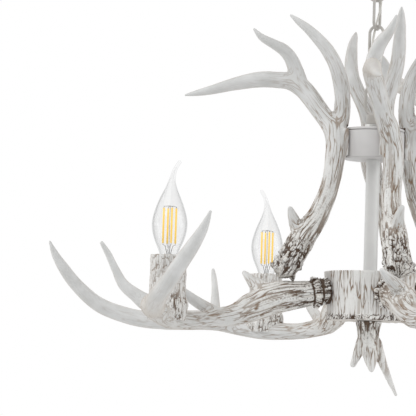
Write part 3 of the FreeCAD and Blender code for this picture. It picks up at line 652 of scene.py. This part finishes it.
def resin(name, pale, shade, chalk, cream, brown, dark, width, length, speckle):
    """White-washed cast resin, with brown left in furrows, pits and the edges of long cells, and painted shade at its
    rims and where antlers touch the drum and hub.
    """
    n = new_look(name)
    groove, rough, wash = n.stored("groove"), n.stored("rough"), n.stored("wash")
    grain, place = n.stored("grain", "Vector"), n.place()
    bend = n.cloud(n.stretched(grain, (0.2, 0.2, 0.06)), 1.0, 2.0, output="Color")
    bend = n.out("VectorMath", {0: bend, 1: (2.2, 2.2, 0.0)}, operation="MULTIPLY")
    bent = n.out("VectorMath", {0: grain, 1: bend}, operation="ADD")
    cells = {"Vector": n.stretched(bent, (1 / width, 1 / width, 1 / length)), "Scale": 1.0}
    edge = n.out("TexVoronoi", cells, "Distance", feature="DISTANCE_TO_EDGE")
    lines = n.calculate("SUBTRACT", 1.0, n.step(edge, 0.12 * 0.2, 0.12), True)
    sparse = n.cloud(n.stretched(grain, (0.18, 0.18, 0.04)), 1.0, 2.0)
    streaks = n.cloud(n.stretched(grain, (0.7, 0.7, 0.05)), 1.0, 4.0, 0.6)
    patches = n.cloud(place, 60.0)
    specks = n.cloud(place, 460.0, 2.0, 0.6)
    colour = n.blend(n.step(patches, 0.35, 0.65), pale, shade)
    colour = n.blend(n.step(rough, 0.3, 0.8), colour, chalk)
    tint = n.times(wash, n.step(streaks, 0.4, 0.65))
    colour = n.blend(n.times(tint, 0.55, True), colour, cream)
    # Painted shade: cream-brown darkening towards each surface's rim as the camera sees it.
    colour = n.blend(n.times(n.facing(0.5, 3.0), 0.8), colour, cream)
    inked = n.blend(n.step(wash, 0.1, 1.0), brown, dark)
    amount = n.times(lines, n.step(sparse, 0.4, 0.6))
    amount = n.times(amount, n.out("MapRange", {0: rough, 1: 0.04, 2: 0.5}))
    colour = n.blend(amount, colour, inked)
    # Painted shade: besides deep furrows, this inks the contact shade dark where antlers touch the drum and hub.
    deep_and_shade = n.times(n.step(groove, 0.55, 1.0), n.calculate("ADD", wash, 0.3), True)
    colour = n.blend(deep_and_shade, colour, inked)
    flecks = n.times(n.step(specks, 0.57, 0.65), speckle)
    colour = n.blend(n.times(flecks, n.times(wash, rough), True), colour, dark)
    height = n.calculate("SUBTRACT", n.times(streaks, rough), n.times(amount, 0.7))
    n.close(colour, n.spread(patches, 0.46, 0.62), height, 0.0005, {SPECULAR: 0.35})


def painted_metal(name, colour, dirt):
    """Satin paint with faint unevenness, and a little dirt in patches."""
    n = new_look(name)
    place = n.place()
    broad = n.cloud(place, 40.0)
    shown = n.blend(n.times(n.step(broad, 0.45, 0.8), 0.5), colour, dirt)
    n.close(shown, n.spread(broad, 0.34, 0.48), n.cloud(place, 900.0, 2.0), 0.00006)


def bare_metal(name, colour, dull, roughness):
    """Plated metal, brushed one way and spotted where it is dull."""
    n = new_look(name)
    place = n.place()
    brushed = n.cloud(n.stretched(place, (60.0, 60.0, 2400.0)), 1.0)
    shown = n.blend(n.step(n.cloud(place, 160.0, 4.0), 0.45, 0.7), colour, dull)
    shine = n.spread(brushed, roughness - 0.08, roughness + 0.1)
    n.close(shown, shine, brushed, 0.00005, {"Metallic": 1.0})


def plastic(name, colour, shade, grain_scale):
    """Moulded plastic with a fine grain and broad patches of another shade."""
    n = new_look(name)
    place = n.place()
    fine = n.cloud(place, grain_scale, 2.0)
    shown = n.blend(n.step(n.cloud(place, grain_scale / 10), 0.35, 0.75), colour, shade)
    n.close(shown, n.spread(fine, 0.4, 0.55), fine, 0.00005, {SPECULAR: 0.45})


def clear_glass(name):
    """Thin clear glass: see-through, with painted grey shade at its edge and sharp reflections."""
    n = new_look(name)
    edge = n.facing(0.35, 2.3)
    # Painted shade: the see-through colour turns grey towards the glass's rim.
    through = n.out("BsdfTransparent", {"Color": n.blend(edge, (0.965, 0.965, 0.965, 1), (0.68, 0.68, 0.68, 1))})
    shine = n.spread(n.cloud(n.place(), 90.0, 2.0), 0.02, 0.06)
    gloss = n.out("BsdfGlossy", {"Color": (0.9, 0.92, 0.92, 1), "Roughness": shine})
    amount = n.calculate("ADD", n.times(edge, 0.12), 0.015)
    n.add("OutputMaterial", {0: n.out("MixShader", {0: amount, 1: through, 2: gloss})})


def phosphor(name):
    """Fine-grained yellow phosphor coat, brightened by a faint painted glow."""
    n = new_look(name)
    grains = n.cloud(n.place(), 1800.0, 2.0)
    shown = n.blend(n.step(grains, 0.35, 0.7), (1.0, 0.7, 0.17, 1), (1.0, 0.64, 0.12, 1))
    # Painted light: a faint glow that brightens the yellow of the rods.
    glow = {"Emission Color": (1.0, 0.68, 0.14, 1), "Emission Strength": 0.35}
    n.close(shown, 0.6, grains, 0.00005, {SPECULAR: 0.3, **glow})


resin("antler_resin", width=2.9, length=30.0, speckle=0.9,
      pale=(0.75, 0.755, 0.75, 1), shade=(0.68, 0.685, 0.675, 1), chalk=(0.86, 0.86, 0.84, 1),
      cream=(0.55, 0.49, 0.42, 1), brown=(0.27, 0.185, 0.12, 1), dark=(0.075, 0.044, 0.027, 1))
resin("bark_resin", width=3.2, length=32.0, speckle=1.0,
      pale=(0.83, 0.83, 0.815, 1), shade=(0.77, 0.77, 0.755, 1), chalk=(0.88, 0.88, 0.86, 1),
      cream=(0.58, 0.52, 0.46, 1), brown=(0.28, 0.2, 0.14, 1), dark=(0.075, 0.045, 0.028, 1))
painted_metal("white_metal", (0.66, 0.65, 0.645, 1), (0.6, 0.59, 0.58, 1))
# Painted light: the tube has the drum's white paint, given a lighter colour for the light on it.
painted_metal("tube_lit_white_metal", (0.75, 0.755, 0.745, 1), (0.67, 0.67, 0.66, 1))
painted_metal("chain_metal", (0.55, 0.53, 0.50, 1), (0.33, 0.30, 0.26, 1))
bare_metal("zinc_steel", (0.62, 0.62, 0.60, 1), (0.5, 0.5, 0.49, 1), 0.38)
bare_metal("brass", (0.78, 0.6, 0.3, 1), (0.6, 0.45, 0.22, 1), 0.3)
bare_metal("bulb_metal", (0.72, 0.72, 0.7, 1), (0.6, 0.6, 0.58, 1), 0.3)
bare_metal("filament_wire", (0.35, 0.34, 0.33, 1), (0.25, 0.24, 0.23, 1), 0.4)
plastic("holder_plastic", (0.84, 0.83, 0.8, 1), (0.78, 0.77, 0.74, 1), 700.0)
plastic("cord_white", (0.78, 0.765, 0.72, 1), (0.68, 0.66, 0.61, 1), 900.0)
clear_glass("clear_glass")
phosphor("led_filament")


# ---- antlers
def turned_copies(first, name, look, node, turns=(0.0, QUARTER, 2 * QUARTER, 3 * QUARTER)):
    """Arm 1's mesh on all four arms, each at its own turn."""
    copies = [first] + [add_object("%s_%d" % (name, arm), first.data) for arm in (2, 3, 4)]
    for arm, (made, turn) in enumerate(zip(copies, turns), 1):
        made.rotation_euler = (0, 0, turn)
        finish_piece(made, BODY, look, "%s_%d" % (node, arm))
    return copies


def branch_tubes(branches, count=28):
    return [tube(one["line"], count, first=one["first"]) for one in branches]


def sample_at(one, distance):
    """The number of a branch's sample at a distance from its start."""
    return int(np.argmin(abs(one["reach"] - one["reach"][0] - distance)))


def beads(one, rng, at, ring_radius, size, count, spread):
    """A ring of knobs round a branch, as on the rim of a cast antler."""
    k = sample_at(one, at)
    shapes = []
    for j in range(count):
        angle = 2 * pi * (j + rng.uniform(-0.25, 0.25)) / count
        out = one["side"][k] * cos(angle) + one["cross"][k] * sin(angle)
        lump = size * rng.uniform(0.75, 1.2)
        middle = one["line"][k, :3] + out * ring_radius * rng.uniform(0.95, 1.05)
        middle = middle + one["along"][k] * rng.uniform(-spread, spread)
        shapes.append(knob(middle, np.array([lump, lump * 0.8, lump * rng.uniform(0.8, 1.3)]), rng.uniform(0, 6)))
    return shapes


def drum_pad():
    """The foot of an upper antler, hollowed to the drum's round."""
    x, y = cos(PAD_DIRECTION), sin(PAD_DIRECTION)
    vertices = []
    rows = ((DRUM_RADIUS + 0.4, 1.0), (DRUM_RADIUS + 5, 1.0), (DRUM_RADIUS + PAD_LENGTH - 2, 0.72))
    for reach, share in rows:
        for across, up in ((-1, -1), (1, -1), (1, 1), (-1, 1)):
            side = across * PAD_WIDTH / 2 * share
            vertices.append((reach * x - side * y, reach * y + side * x, DRUM_MIDDLE + up * PAD_HEIGHT / 2 * share))
    return vertices, ring_faces(3, 4) + [(3, 2, 1, 0), (8, 9, 10, 11)]


def hub_radius(height):
    share = (height - HUB_BOTTOM) / (HUB_TOP - HUB_BOTTOM)
    return HUB_BOTTOM_RADIUS + share * (HUB_TOP_RADIUS - HUB_BOTTOM_RADIUS)


def push_outside(points, radius, low, high):
    """Moves points out of an upright round body between two heights."""
    reach = axis_distance(points)
    inside = (points[:, 2] > low) & (points[:, 2] < high) & (reach < radius)
    points[:, :2] *= np.where(inside, radius / np.maximum(reach, 1e-6), 1.0)[:, None]


# These three fit points in place, and return 1 where they touch what they are fitted to, for painted contact shade
# there.
def at_drum(points):
    push_outside(points, DRUM_RADIUS + 0.3, DRUM_BOTTOM - 1, DRUM_TOP + 1)
    beside = abs(points[:, 2] - DRUM_MIDDLE) < PAD_HEIGHT / 2 + 4
    return beside * (1 - ease(axis_distance(points), DRUM_RADIUS + 0.8, DRUM_RADIUS + 2.4))


def at_hub(points):
    push_outside(points, hub_radius(points[:, 2]) + 0.3, HUB_BOTTOM - 1, HUB_TOP + 1)
    return 1 - ease(axis_distance(points), HUB_TOP_RADIUS + 0.5, HUB_TOP_RADIUS + 2.5)


def under_hub(points):
    points[:, 2] = np.minimum(points[:, 2], HUB_BOTTOM - 0.1)
    return 0


def first_antler(name, seed, height, rows, rings, foot, rounds, held, cuts):
    """Arm 1's antler: melted from tubes and beads, softened away from the beads, and furrowed."""
    rng = np.random.default_rng(seed)
    branches = grown(rows, height)
    beam = branches[0]
    shapes = branch_tubes(branches) + foot
    for ring in rings:
        shapes += beads(beam, rng, *ring)
    made = make_object(name, *merged(shapes))
    melt(made, FINE)
    at, width = held
    away = norm(read_points(made) - beam["line"][sample_at(beam, at), :3], axis=1)
    soften(made, rounds, 0.8 * (1 - ease(away, width * 0.8, width)))
    furrow(made, branches, *cuts)
    return made


def upper_antlers():
    made = first_antler("upper_antler_1", 21, DRUM_MIDDLE, UPPER_BRANCHES, UPPER_BEADS, [drum_pad()],
                        rounds=6, held=(8, 24), cuts=(1.15, 1.0, (), at_drum))
    rolled = turned_copies(made, "upper_antler", "antler_resin", "upper_antler", UPPER_TURNS)[-1]
    rolled.data = rolled.data.copy()
    screw = Vector((cos(PAD_DIRECTION), sin(PAD_DIRECTION), 0))
    middle = Matrix.Translation((0, 0, DRUM_MIDDLE * MM))
    rolled.data.transform(middle @ Matrix.Rotation(REAR_LEFT_ROLL, 4, screw) @ middle.inverted())
    points = read_points(rolled)
    at_drum(points)
    write_points(rolled, points)


def lower_antlers():
    made = first_antler("lower_antler_1", 22, HUB_MIDDLE, LOWER_BRANCHES, LOWER_BEADS, [],
                        rounds=5, held=(14, 22), cuts=(1.1, 0.0, LOWER_RIMS, at_hub))
    turned_copies(made, "lower_antler", "antler_resin", "lower_antler")


# ---- bark pieces
def carve(made, axis, outward, upward, groove, rough, wash):
    """Moves points out from an upright axis and up, and stores what the material reads."""
    points = read_points(made)
    away = points[:, :2] - axis
    points[:, :2] += away / np.maximum(norm(away, axis=1), 1e-6)[:, None] * outward[:, None]
    points[:, 2] += upward
    write_points(made, points)
    give_values(made, groove=groove, rough=rough, wash=wash, grain=points - (*axis, 0))


def hub():
    """The turned hub with upright furrows and a ragged lower lip."""
    wide, narrow, rim = HUB_TOP_RADIUS, HUB_BOTTOM_RADIUS, HUB_TOP_RADIUS - HUB_WALL / 2
    low, seat, floor_top = HUB_BOTTOM + 0.5, HUB_TOP - HUB_COVER, HUB_BOTTOM + HUB_FLOOR
    corners = [
        (narrow + 1, low), (narrow + 0.8, HUB_BOTTOM + 5), (wide - 0.4, HUB_TOP), (rim, HUB_TOP), (rim, seat),
        (wide - HUB_WALL, seat), (narrow - HUB_WALL, floor_top), (PIPE_HOLE, floor_top), (PIPE_HOLE, low),
    ]
    outline = dense(rounded(corners, 0.8, 3), 1.2 * FINE)
    made = make_object("hub_shell_bark", *lathe(outline, int(320 / FINE)))
    x, y, z = read_points(made).T
    outer = ease(np.hypot(x, y) - hub_radius(z), -2.4, -0.8)
    around = np.arctan2(y, x)
    place = np.column_stack([np.cos(around) * 44, np.sin(around) * 44, z])
    lip = outer * (1 - ease(z + 1.8 * noise(place, (9, 9, 9), 37), HUB_BOTTOM + 4, HUB_BOTTOM + 8))
    bent = place + sideways(place, (7, 7, 20), 31) * 0.45
    lines = cracks(bent * ALL_ALONG, bent, *HUB_LINES)[0]
    threads = cracks(bent * ALL_ALONG + 9, bent, *HUB_THREADS)[0]
    near, gap, own = scattered(bent, (4.6, 4.6, 3.4), 36)
    lumps = 0.9 - 1.5 * near + 0.5 * own
    moved = outer * (0.25 * noise(bent, (9, 9, 30), 38) - 0.6 * lines - 0.25 * threads) + lip * (0.3 + 1.2 * lumps)
    groove = np.clip(outer * (lines + 0.5 * threads) * (1 - lip) + lip * (1 - ease(gap, 0.04, 0.32)), 0, 1)
    carve(made, (0, 0), moved, lip * 0.5 * noise(place, (2.6, 2.6, 2.6), 39),
          groove, outer * (0.5 + 0.5 * lip), outer * (0.12 + 0.88 * lip))
    finish_piece(made, BODY, "bark_resin", "hub_shell")


def finial():
    branches = grown(FINIAL_BRANCHES, HUB_BOTTOM)
    made = make_object("finial_bark", *merged(branch_tubes(branches, 24)))
    melt(made, 0.8 * FINE)
    soften(made, 3)
    furrow(made, branches, 0.9, 0.0, (), under_hub, upright=True)
    finish_piece(made, BODY, "bark_resin", "finial")


def lamp_places():
    """Each arm's number, and where its sleeve stands on the beam."""
    for arm in (1, 2, 3, 4):
        low, high = box_mm("candle_sleeve_%d" % arm)
        yield arm, (low[0] + high[0]) / 2, (low[1] + high[1]) / 2, low[2]


def candle_sleeves():
    """Bark tubes on the beams, their flared feet down over the beams' sides."""
    x, y, seat = next(lamp_places())[1:]
    inner = SLEEVE_RADIUS - SLEEVE_WALL
    top = seat + SLEEVE_HEIGHT - 0.6
    low, wide = seat - SLEEVE_SKIRT, SLEEVE_RADIUS
    corners = [(wide + 0.5, low), (wide + 2.8, seat - 5), (wide + 2.2, seat + 3), (wide - 0.2, seat + 10),
               (wide - 0.2, top), (inner, top), (inner, low)]
    outline = dense(rounded(corners, 1.2, 4), 0.75 * FINE)
    made = make_object("candle_sleeve_bark_1", *lathe(outline, int(160 / FINE), x, y))
    points = read_points(made)
    away = points[:, :2] - (x, y)
    reach = norm(away, axis=1)
    outer = ease(reach, inner + 0.8, SLEEVE_RADIUS - 0.8)
    place = np.column_stack([away / reach[:, None] * SLEEVE_RADIUS, points[:, 2]])
    foot = 1 - ease(points[:, 2], seat + 4, seat + 14)
    bent = place + sideways(place, (4, 4, 9), 41) * 0.8
    crack, own = cracks(bent, place, *SLEEVE_CRACKS)
    chip, small_own = cracks(bent, place, *SLEEVE_CHIPS)
    lump = noise(place, (5.5, 5.5, 5.5), 44)
    moved = outer * ((0.3 + 0.8 * foot) * lump + (0.25 + 0.4 * foot) * own + 0.2 * small_own
                     - (0.7 + 0.6 * foot) * crack - (0.4 + 0.3 * foot) * chip - 0.1)
    ends = outer * (abs(points[:, 2] - seat - 18) > 28)
    carve(made, (x, y), moved, ends * 0.7 * noise(place, (3, 3, 9), 45),
          outer * np.clip(crack + 0.8 * chip, 0, 1), outer * (0.25 + 0.3 * foot), outer * (0.35 + 0.15 * foot))
    turned_copies(made, "candle_sleeve_bark", "bark_resin", "candle_sleeve")


# ---- turned metal
def box_outline(inner, outer, start, end):
    return [(inner, start), (outer, start), (outer, end), (inner, end)]


def turned_piece(name, node, corners, radius, look="white_metal", body=BODY, x=0.0, y=0.0, count=128):
    piece(name, lathe(rounded(corners, radius), count, x, y), body, look, node)


def turned_metal():
    """The drum and its lid, the outer tube, the hub's cover and the canopy."""
    inner = DRUM_RADIUS - DRUM_WALL
    under = DRUM_TOP - DRUM_LID
    rim, floor_top = under - DRUM_GAP, DRUM_BOTTOM + DRUM_WALL
    turned_piece("drum_body_shell", "drum_body", [
        (PIPE_HOLE, DRUM_BOTTOM), (DRUM_RADIUS, DRUM_BOTTOM), (DRUM_RADIUS, rim), (inner, rim), (inner, floor_top),
        (PIPE_HOLE, floor_top)], 1.6)
    turned_piece("drum_lid_disc", "drum_lid", [
        (PIPE_HOLE, under), (inner - 1.8, under), (inner - 1.8, under - 3), (inner - 0.4, under - 3),
        (inner - 0.4, under), (DRUM_RADIUS, under), (DRUM_RADIUS, DRUM_TOP), (PIPE_HOLE, DRUM_TOP)], 0.7)
    turned_piece("centre_tube_skin", "centre_tube", box_outline(TUBE_BORE, TUBE_RADIUS, HUB_TOP, DRUM_BOTTOM),
                 0.3, "tube_lit_white_metal", count=72)
    edge = HUB_TOP_RADIUS - HUB_WALL / 2 - 0.2
    turned_piece("hub_cover_plate", "hub_cover", box_outline(PIPE_HOLE, edge, HUB_TOP - HUB_COVER, HUB_TOP), 0.6)
    wall = 1.4
    outer = [(PIPE_HOLE, CANOPY_BOTTOM), (28, CANOPY_BOTTOM), (45, CANOPY_BOTTOM * 0.8),
             (CANOPY_RADIUS - 6, CANOPY_BOTTOM * 0.5), (CANOPY_RADIUS - 1, -8), (CANOPY_RADIUS, -4), (CANOPY_RADIUS, 0)]
    inner = [(radius - wall if k else radius, height + (wall if height < -1 else 0))
             for k, (radius, height) in enumerate(outer)]
    turned_piece("canopy_shell", "canopy", outer + inner[::-1], 5.0, body=CEILING, count=160)


# ---- chain, loops and cord
def oval_ring(width, height, wire, top, yaw, weld):
    """A round-ended ring of wire, swollen on one side where it is welded."""
    arc = (width - wire) / 2
    straight = (height - wire) / 2 - arc
    half = [(arc * cos(pi * k / 22), straight + arc * sin(pi * k / 22)) for k in range(23)]
    half += [(-arc, straight * (1 - k / 6)) for k in range(1, 12)]
    turn = radians(yaw)
    rows = []
    for across, up in half + [(-across, -up) for across, up in half]:
        radius = wire / 2
        if weld and across > 0:
            radius *= 1 + 0.1 * exp(-(up / 1.6) ** 2) - 0.22 * exp(-(up / 0.5) ** 2)
        rows.append((across * cos(turn), across * sin(turn), top - height / 2 + up, radius))
    return tube(np.array(rows), 20, closed=True)


def chain():
    for number in (1, 2, 3):
        node = "chain_link_%d" % number
        yaw = 90 - CHAIN_YAW if number % 2 else -CHAIN_YAW
        ring = oval_ring(LINK_WIDTH, LINK_LENGTH, LINK_WIRE, top_of(node), yaw, weld=True)
        piece("chain_ring_%d" % number, ring, "link_%d" % number, "chain_metal", node)


def loop_fitting(name, node, body, ring_top, ring_height, start, end):
    """A ring on a collar that goes from one height to another."""
    ring = oval_ring(LOOP_WIDTH, ring_height, LOOP_WIRE, ring_top, -CHAIN_YAW, weld=False)
    collar = lathe(rounded(box_outline(PIPE_BORE, COLLAR_RADIUS, start, end), 1.0), 40)
    piece(name, merged([ring, collar]), body, "chain_metal", node)


def loops():
    loop_fitting("canopy_eye", "canopy_loop", CEILING, bottom_of("canopy_loop") + 30, 30,
                 CANOPY_BOTTOM, CANOPY_BOTTOM - 5)
    low = bottom_of("top_loop")
    loop_fitting("top_eye", "top_loop", BODY, top_of("top_loop"), 36, low, low + 10)


def cord_line():
    """The chain's pivots, and the cord's line, which weaves through the links there."""
    pivots = [bottom_of("canopy_loop") + LOOP_WIRE / 2]
    pivots += [bottom_of("chain_link_%d" % number) + LINK_WIRE / 2 for number in (1, 2, 3)]
    route = [(0, 0, -1), (0, 0, CANOPY_BOTTOM - 2)]
    for height, (p, q) in zip(pivots, ((1, 1), (-1, 1), (-1, -1), (1, -1))):
        route.append((p * CORD_SWING, q * CORD_SWING, height))
    route += [(0, 0, bottom_of("top_loop") + 7), (0, 0, DRUM_TOP - 15.5)]
    curve = bpy.data.curves.new("cord_route", "CURVE")
    curve.dimensions = "3D"
    curve.resolution_u = 20
    spline = curve.splines.new("NURBS")
    spline.points.add(len(route) - 1)
    for point, place in zip(spline.points, route):
        point.co = (*place, 1.0)
    spline.order_u = 3
    spline.use_endpoint_u = True
    holder = add_object("cord_route", curve)
    mesh = bpy.data.meshes.new_from_object(holder)
    x, y, z = np.array([vertex.co for vertex in mesh.vertices]).T
    bpy.data.meshes.remove(mesh)
    bpy.data.objects.remove(holder)
    u, v = cos(radians(-CHAIN_YAW)), sin(radians(-CHAIN_YAW))
    return pivots, np.column_stack([x * u - y * v, x * v + y * u, z, np.full(len(z), CORD_RADIUS)])


def cord():
    """One piece for each chain joint, split at the middle of each link."""
    pivots, line = cord_line()
    middles = [(a + b) / 2 for a, b in zip(pivots, pivots[1:])]
    ends = [int(np.argmin(abs(line[:, 2] - height))) for height in [0.0] + middles + [line[-1, 2]]]
    for k, pivot in enumerate(pivots):
        made = make_object("supply_cord_%d" % (k + 1), *tube(line[ends[k]:ends[k + 1] + 1], 12))
        made.data.materials.append(LOOKS["cord_white"])
        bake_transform(made)
        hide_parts("supply_cord")


# ---- lamps
def bulb_line(x, y, base, lean, shrink, points):
    rows = [(x + side * cos(lean), y + side * sin(lean), base + height, radius - shrink)
            for height, side, radius in points]
    return smooth_line(rows, 1.2)


def wire(points, radius, count=6):
    return tube(np.array([(*point, radius) for point in points], float), count)


def lamp(arm, x, y, seat):
    """A bulb and its holder."""
    body = "bulb_%d" % arm
    base = seat + GLASS_BASE
    lean = radians(BULB_LEANS[arm - 1])
    outer = tube(bulb_line(x, y, base, lean, 0.0, GLASS_OUTLINE), 48)
    inner, inner_faces = tube(bulb_line(x, y, base + 0.4, lean, GLASS_WALL, GLASS_HOLLOW), 48)
    shell = merged([outer, (inner, [face[::-1] for face in inner_faces])])
    piece("bulb_envelope_%d" % arm, shell, body, "clear_glass", "bulb_glass_%d" % arm)
    stem = [(radius, base + height) for radius, height in STEM_OUTLINE]
    piece("bulb_flare_%d" % arm, lathe(stem, 24, x, y, closed=False), body, "clear_glass", "bulb_stem_%d" % arm)
    axis = np.array([x, y, base])
    hook = axis + (0, 0, FILAMENT_START + FILAMENT_LENGTH + 2.4)
    rods, wires, tops = [], [], []
    for k in range(FILAMENTS):
        angle = FILAMENT_TURN + QUARTER * k
        out = np.array([cos(angle), sin(angle), 0])
        foot = axis + (0, 0, FILAMENT_START) + out * FILAMENT_SPREAD
        head = foot + (0, 0, FILAMENT_LENGTH)
        rods.append(wire([foot, head], FILAMENT_RADIUS, 14))
        start = axis + (0, 0, 14) + out * 1.6
        wires.append(wire([start, (start + foot) / 2 + (0, 0, 3), foot - (0, 0, 1.5), foot], 0.28))
        tops.append(head + (0, 0, 1.8))
        wires.append(wire([head, tops[-1]], 0.4))
    wires += [wire([top, hook], 0.25) for top in tops]
    wires.append(wire([axis + (0, 0, 20), hook], 0.25))
    wires += [wire([axis + (side, 0, 2), axis + (side, 0, 14)], 0.45) for side in (-1.6, 1.6)]
    piece("bulb_rods_%d" % arm, merged(rods), body, "led_filament", "bulb_filaments_%d" % arm)
    piece("bulb_wires_%d" % arm, merged(wires), body, "filament_wire")
    low, high = bottom_of("bulb_cap_%d" % arm), top_of("bulb_cap_%d" % arm)
    outline = [(0.5, low), (2.4, low), (4.8, low + 2.2)]
    steps = CAP_THREADS * THREAD_STEPS
    for k in range(steps + 1):
        outline.append((6.6 + 0.35 * sin(2 * pi * k / THREAD_STEPS), low + 4 + (high - low - 6) * k / steps))
    outline += [(6.9, high - 1), (6.9, high), (0.5, high)]
    piece("bulb_screw_%d" % arm, lathe(outline, 40, x, y), body, "bulb_metal", "bulb_cap_%d" % arm)
    node = "lampholder_%d" % arm
    top, floor_top = top_of(node), seat + 12
    outline = [(4.05, seat), (11.5, seat), (11.5, top), (7.6, top), (7.6, floor_top), (4.05, floor_top)]
    turned_piece("holder_body_%d" % arm, node, outline, 0.8, "holder_plastic", BODY, x, y, 48)


# ---- the object
upper_antlers()
lower_antlers()
hub()
finial()
candle_sleeves()
turned_metal()
chain()
loops()
cord()
for place in lamp_places():
    lamp(*place)

# CAD nodes that are shown as they are.
CARRIED = {
    "zinc_steel": ["mounting_bar", "canopy_nuts", "lock_nut", "lower_antler_screws", "upper_antler_screws",
                   "holder_stems", "canopy_pipe", "column_pipe"],
    "brass": ["holder_contacts"],
}
for look, nodes in CARRIED.items():
    for node in nodes:
        carried = frame["nodes"][node]
        carried.data.materials.clear()
        carried.data.materials.append(LOOKS[look])

# ---- floor, light and camera, in metres
FLOOR_HEIGHT = -0.62
FLOOR_SIZE = 15.0
WORLD_LIGHT = 0.43
SUN_DIRECTION = (0.45, 0.7, -1.0)
SUN_SPREAD = radians(50.0)
SUN_POWER = 1.15
LIGHT_TARGET = Vector((0, 0, -0.25))
# Square lights: name, place, size, power in watts.
AREA_LIGHTS = [
    ("left", (-2.3, 0.2, 0.4), 1.6, 12.0), ("right", (2.3, -0.5, 0.3), 1.6, 16.0), ("back", (0.4, 2.4, 1.2), 1.8, 10.0),
]
EYE = (0.0, -2.5, -0.4693)
CAMERA_YAW = radians(-3.815)
CAMERA_PITCH = radians(4.451)
CAMERA_ROLL = radians(1.815)
LENS = 213.3


def floor():
    half = FLOOR_SIZE / 2
    mesh = bpy.data.meshes.new("floor")
    corners = [(x * half, y * half, FLOOR_HEIGHT) for x, y in ((-1, -1), (1, -1), (1, 1), (-1, 1))]
    mesh.from_pydata(corners, [], [(0, 1, 2, 3)])
    made = add_object("floor", mesh)
    n = new_look("floor_paper")
    shown = n.blend(n.cloud(n.place(), 3.0), (0.93, 0.93, 0.93, 1), (0.91, 0.91, 0.91, 1))
    n.close(shown, 0.9, numbers={SPECULAR: 0.1})
    made.data.materials.append(LOOKS["floor_paper"])


def world():
    """White to the camera and in reflections, dimmer as a light."""
    made = bpy.data.worlds.new("studio")
    bpy.context.scene.world = made
    n = Nodes(made)
    path = n.add("LightPath", {}).outputs
    seen = n.calculate("ADD", path["Is Camera Ray"], path["Is Glossy Ray"])
    seen = n.calculate("ADD", seen, path["Is Transmission Ray"], True)
    background = n.out("Background", {"Color": (1, 1, 1, 1), "Strength": n.spread(seen, WORLD_LIGHT, 1.0)})
    n.add("OutputWorld", {0: background})


def light(name, kind, power, direction, **settings):
    data = bpy.data.lights.new(name, kind)
    data.energy = power
    for setting, value in settings.items():
        setattr(data, setting, value)
    made = add_object(name, data)
    made.rotation_euler = direction.to_track_quat("-Z", "Y").to_euler()
    return made


def camera():
    """The photograph's eye point and direction, level apart from a slight roll."""
    data = bpy.data.cameras.new("camera")
    data.lens = LENS
    data.clip_end = 100.0
    turn = Matrix.Rotation(-CAMERA_YAW, 4, "Z") @ Matrix.Rotation(QUARTER + CAMERA_PITCH, 4, "X")
    made = add_object("camera", data)
    made.matrix_world = Matrix.Translation(EYE) @ turn @ Matrix.Rotation(CAMERA_ROLL, 4, "Z")
    bpy.context.scene.camera = made


floor()
world()
light("key", "SUN", SUN_POWER, Vector(SUN_DIRECTION), angle=SUN_SPREAD)
for name, place, size, power in AREA_LIGHTS:
    light(name, "AREA", power, LIGHT_TARGET - Vector(place), shape="SQUARE", size=size).location = place
camera()
bpy.context.scene.view_settings.view_transform = "Standard"
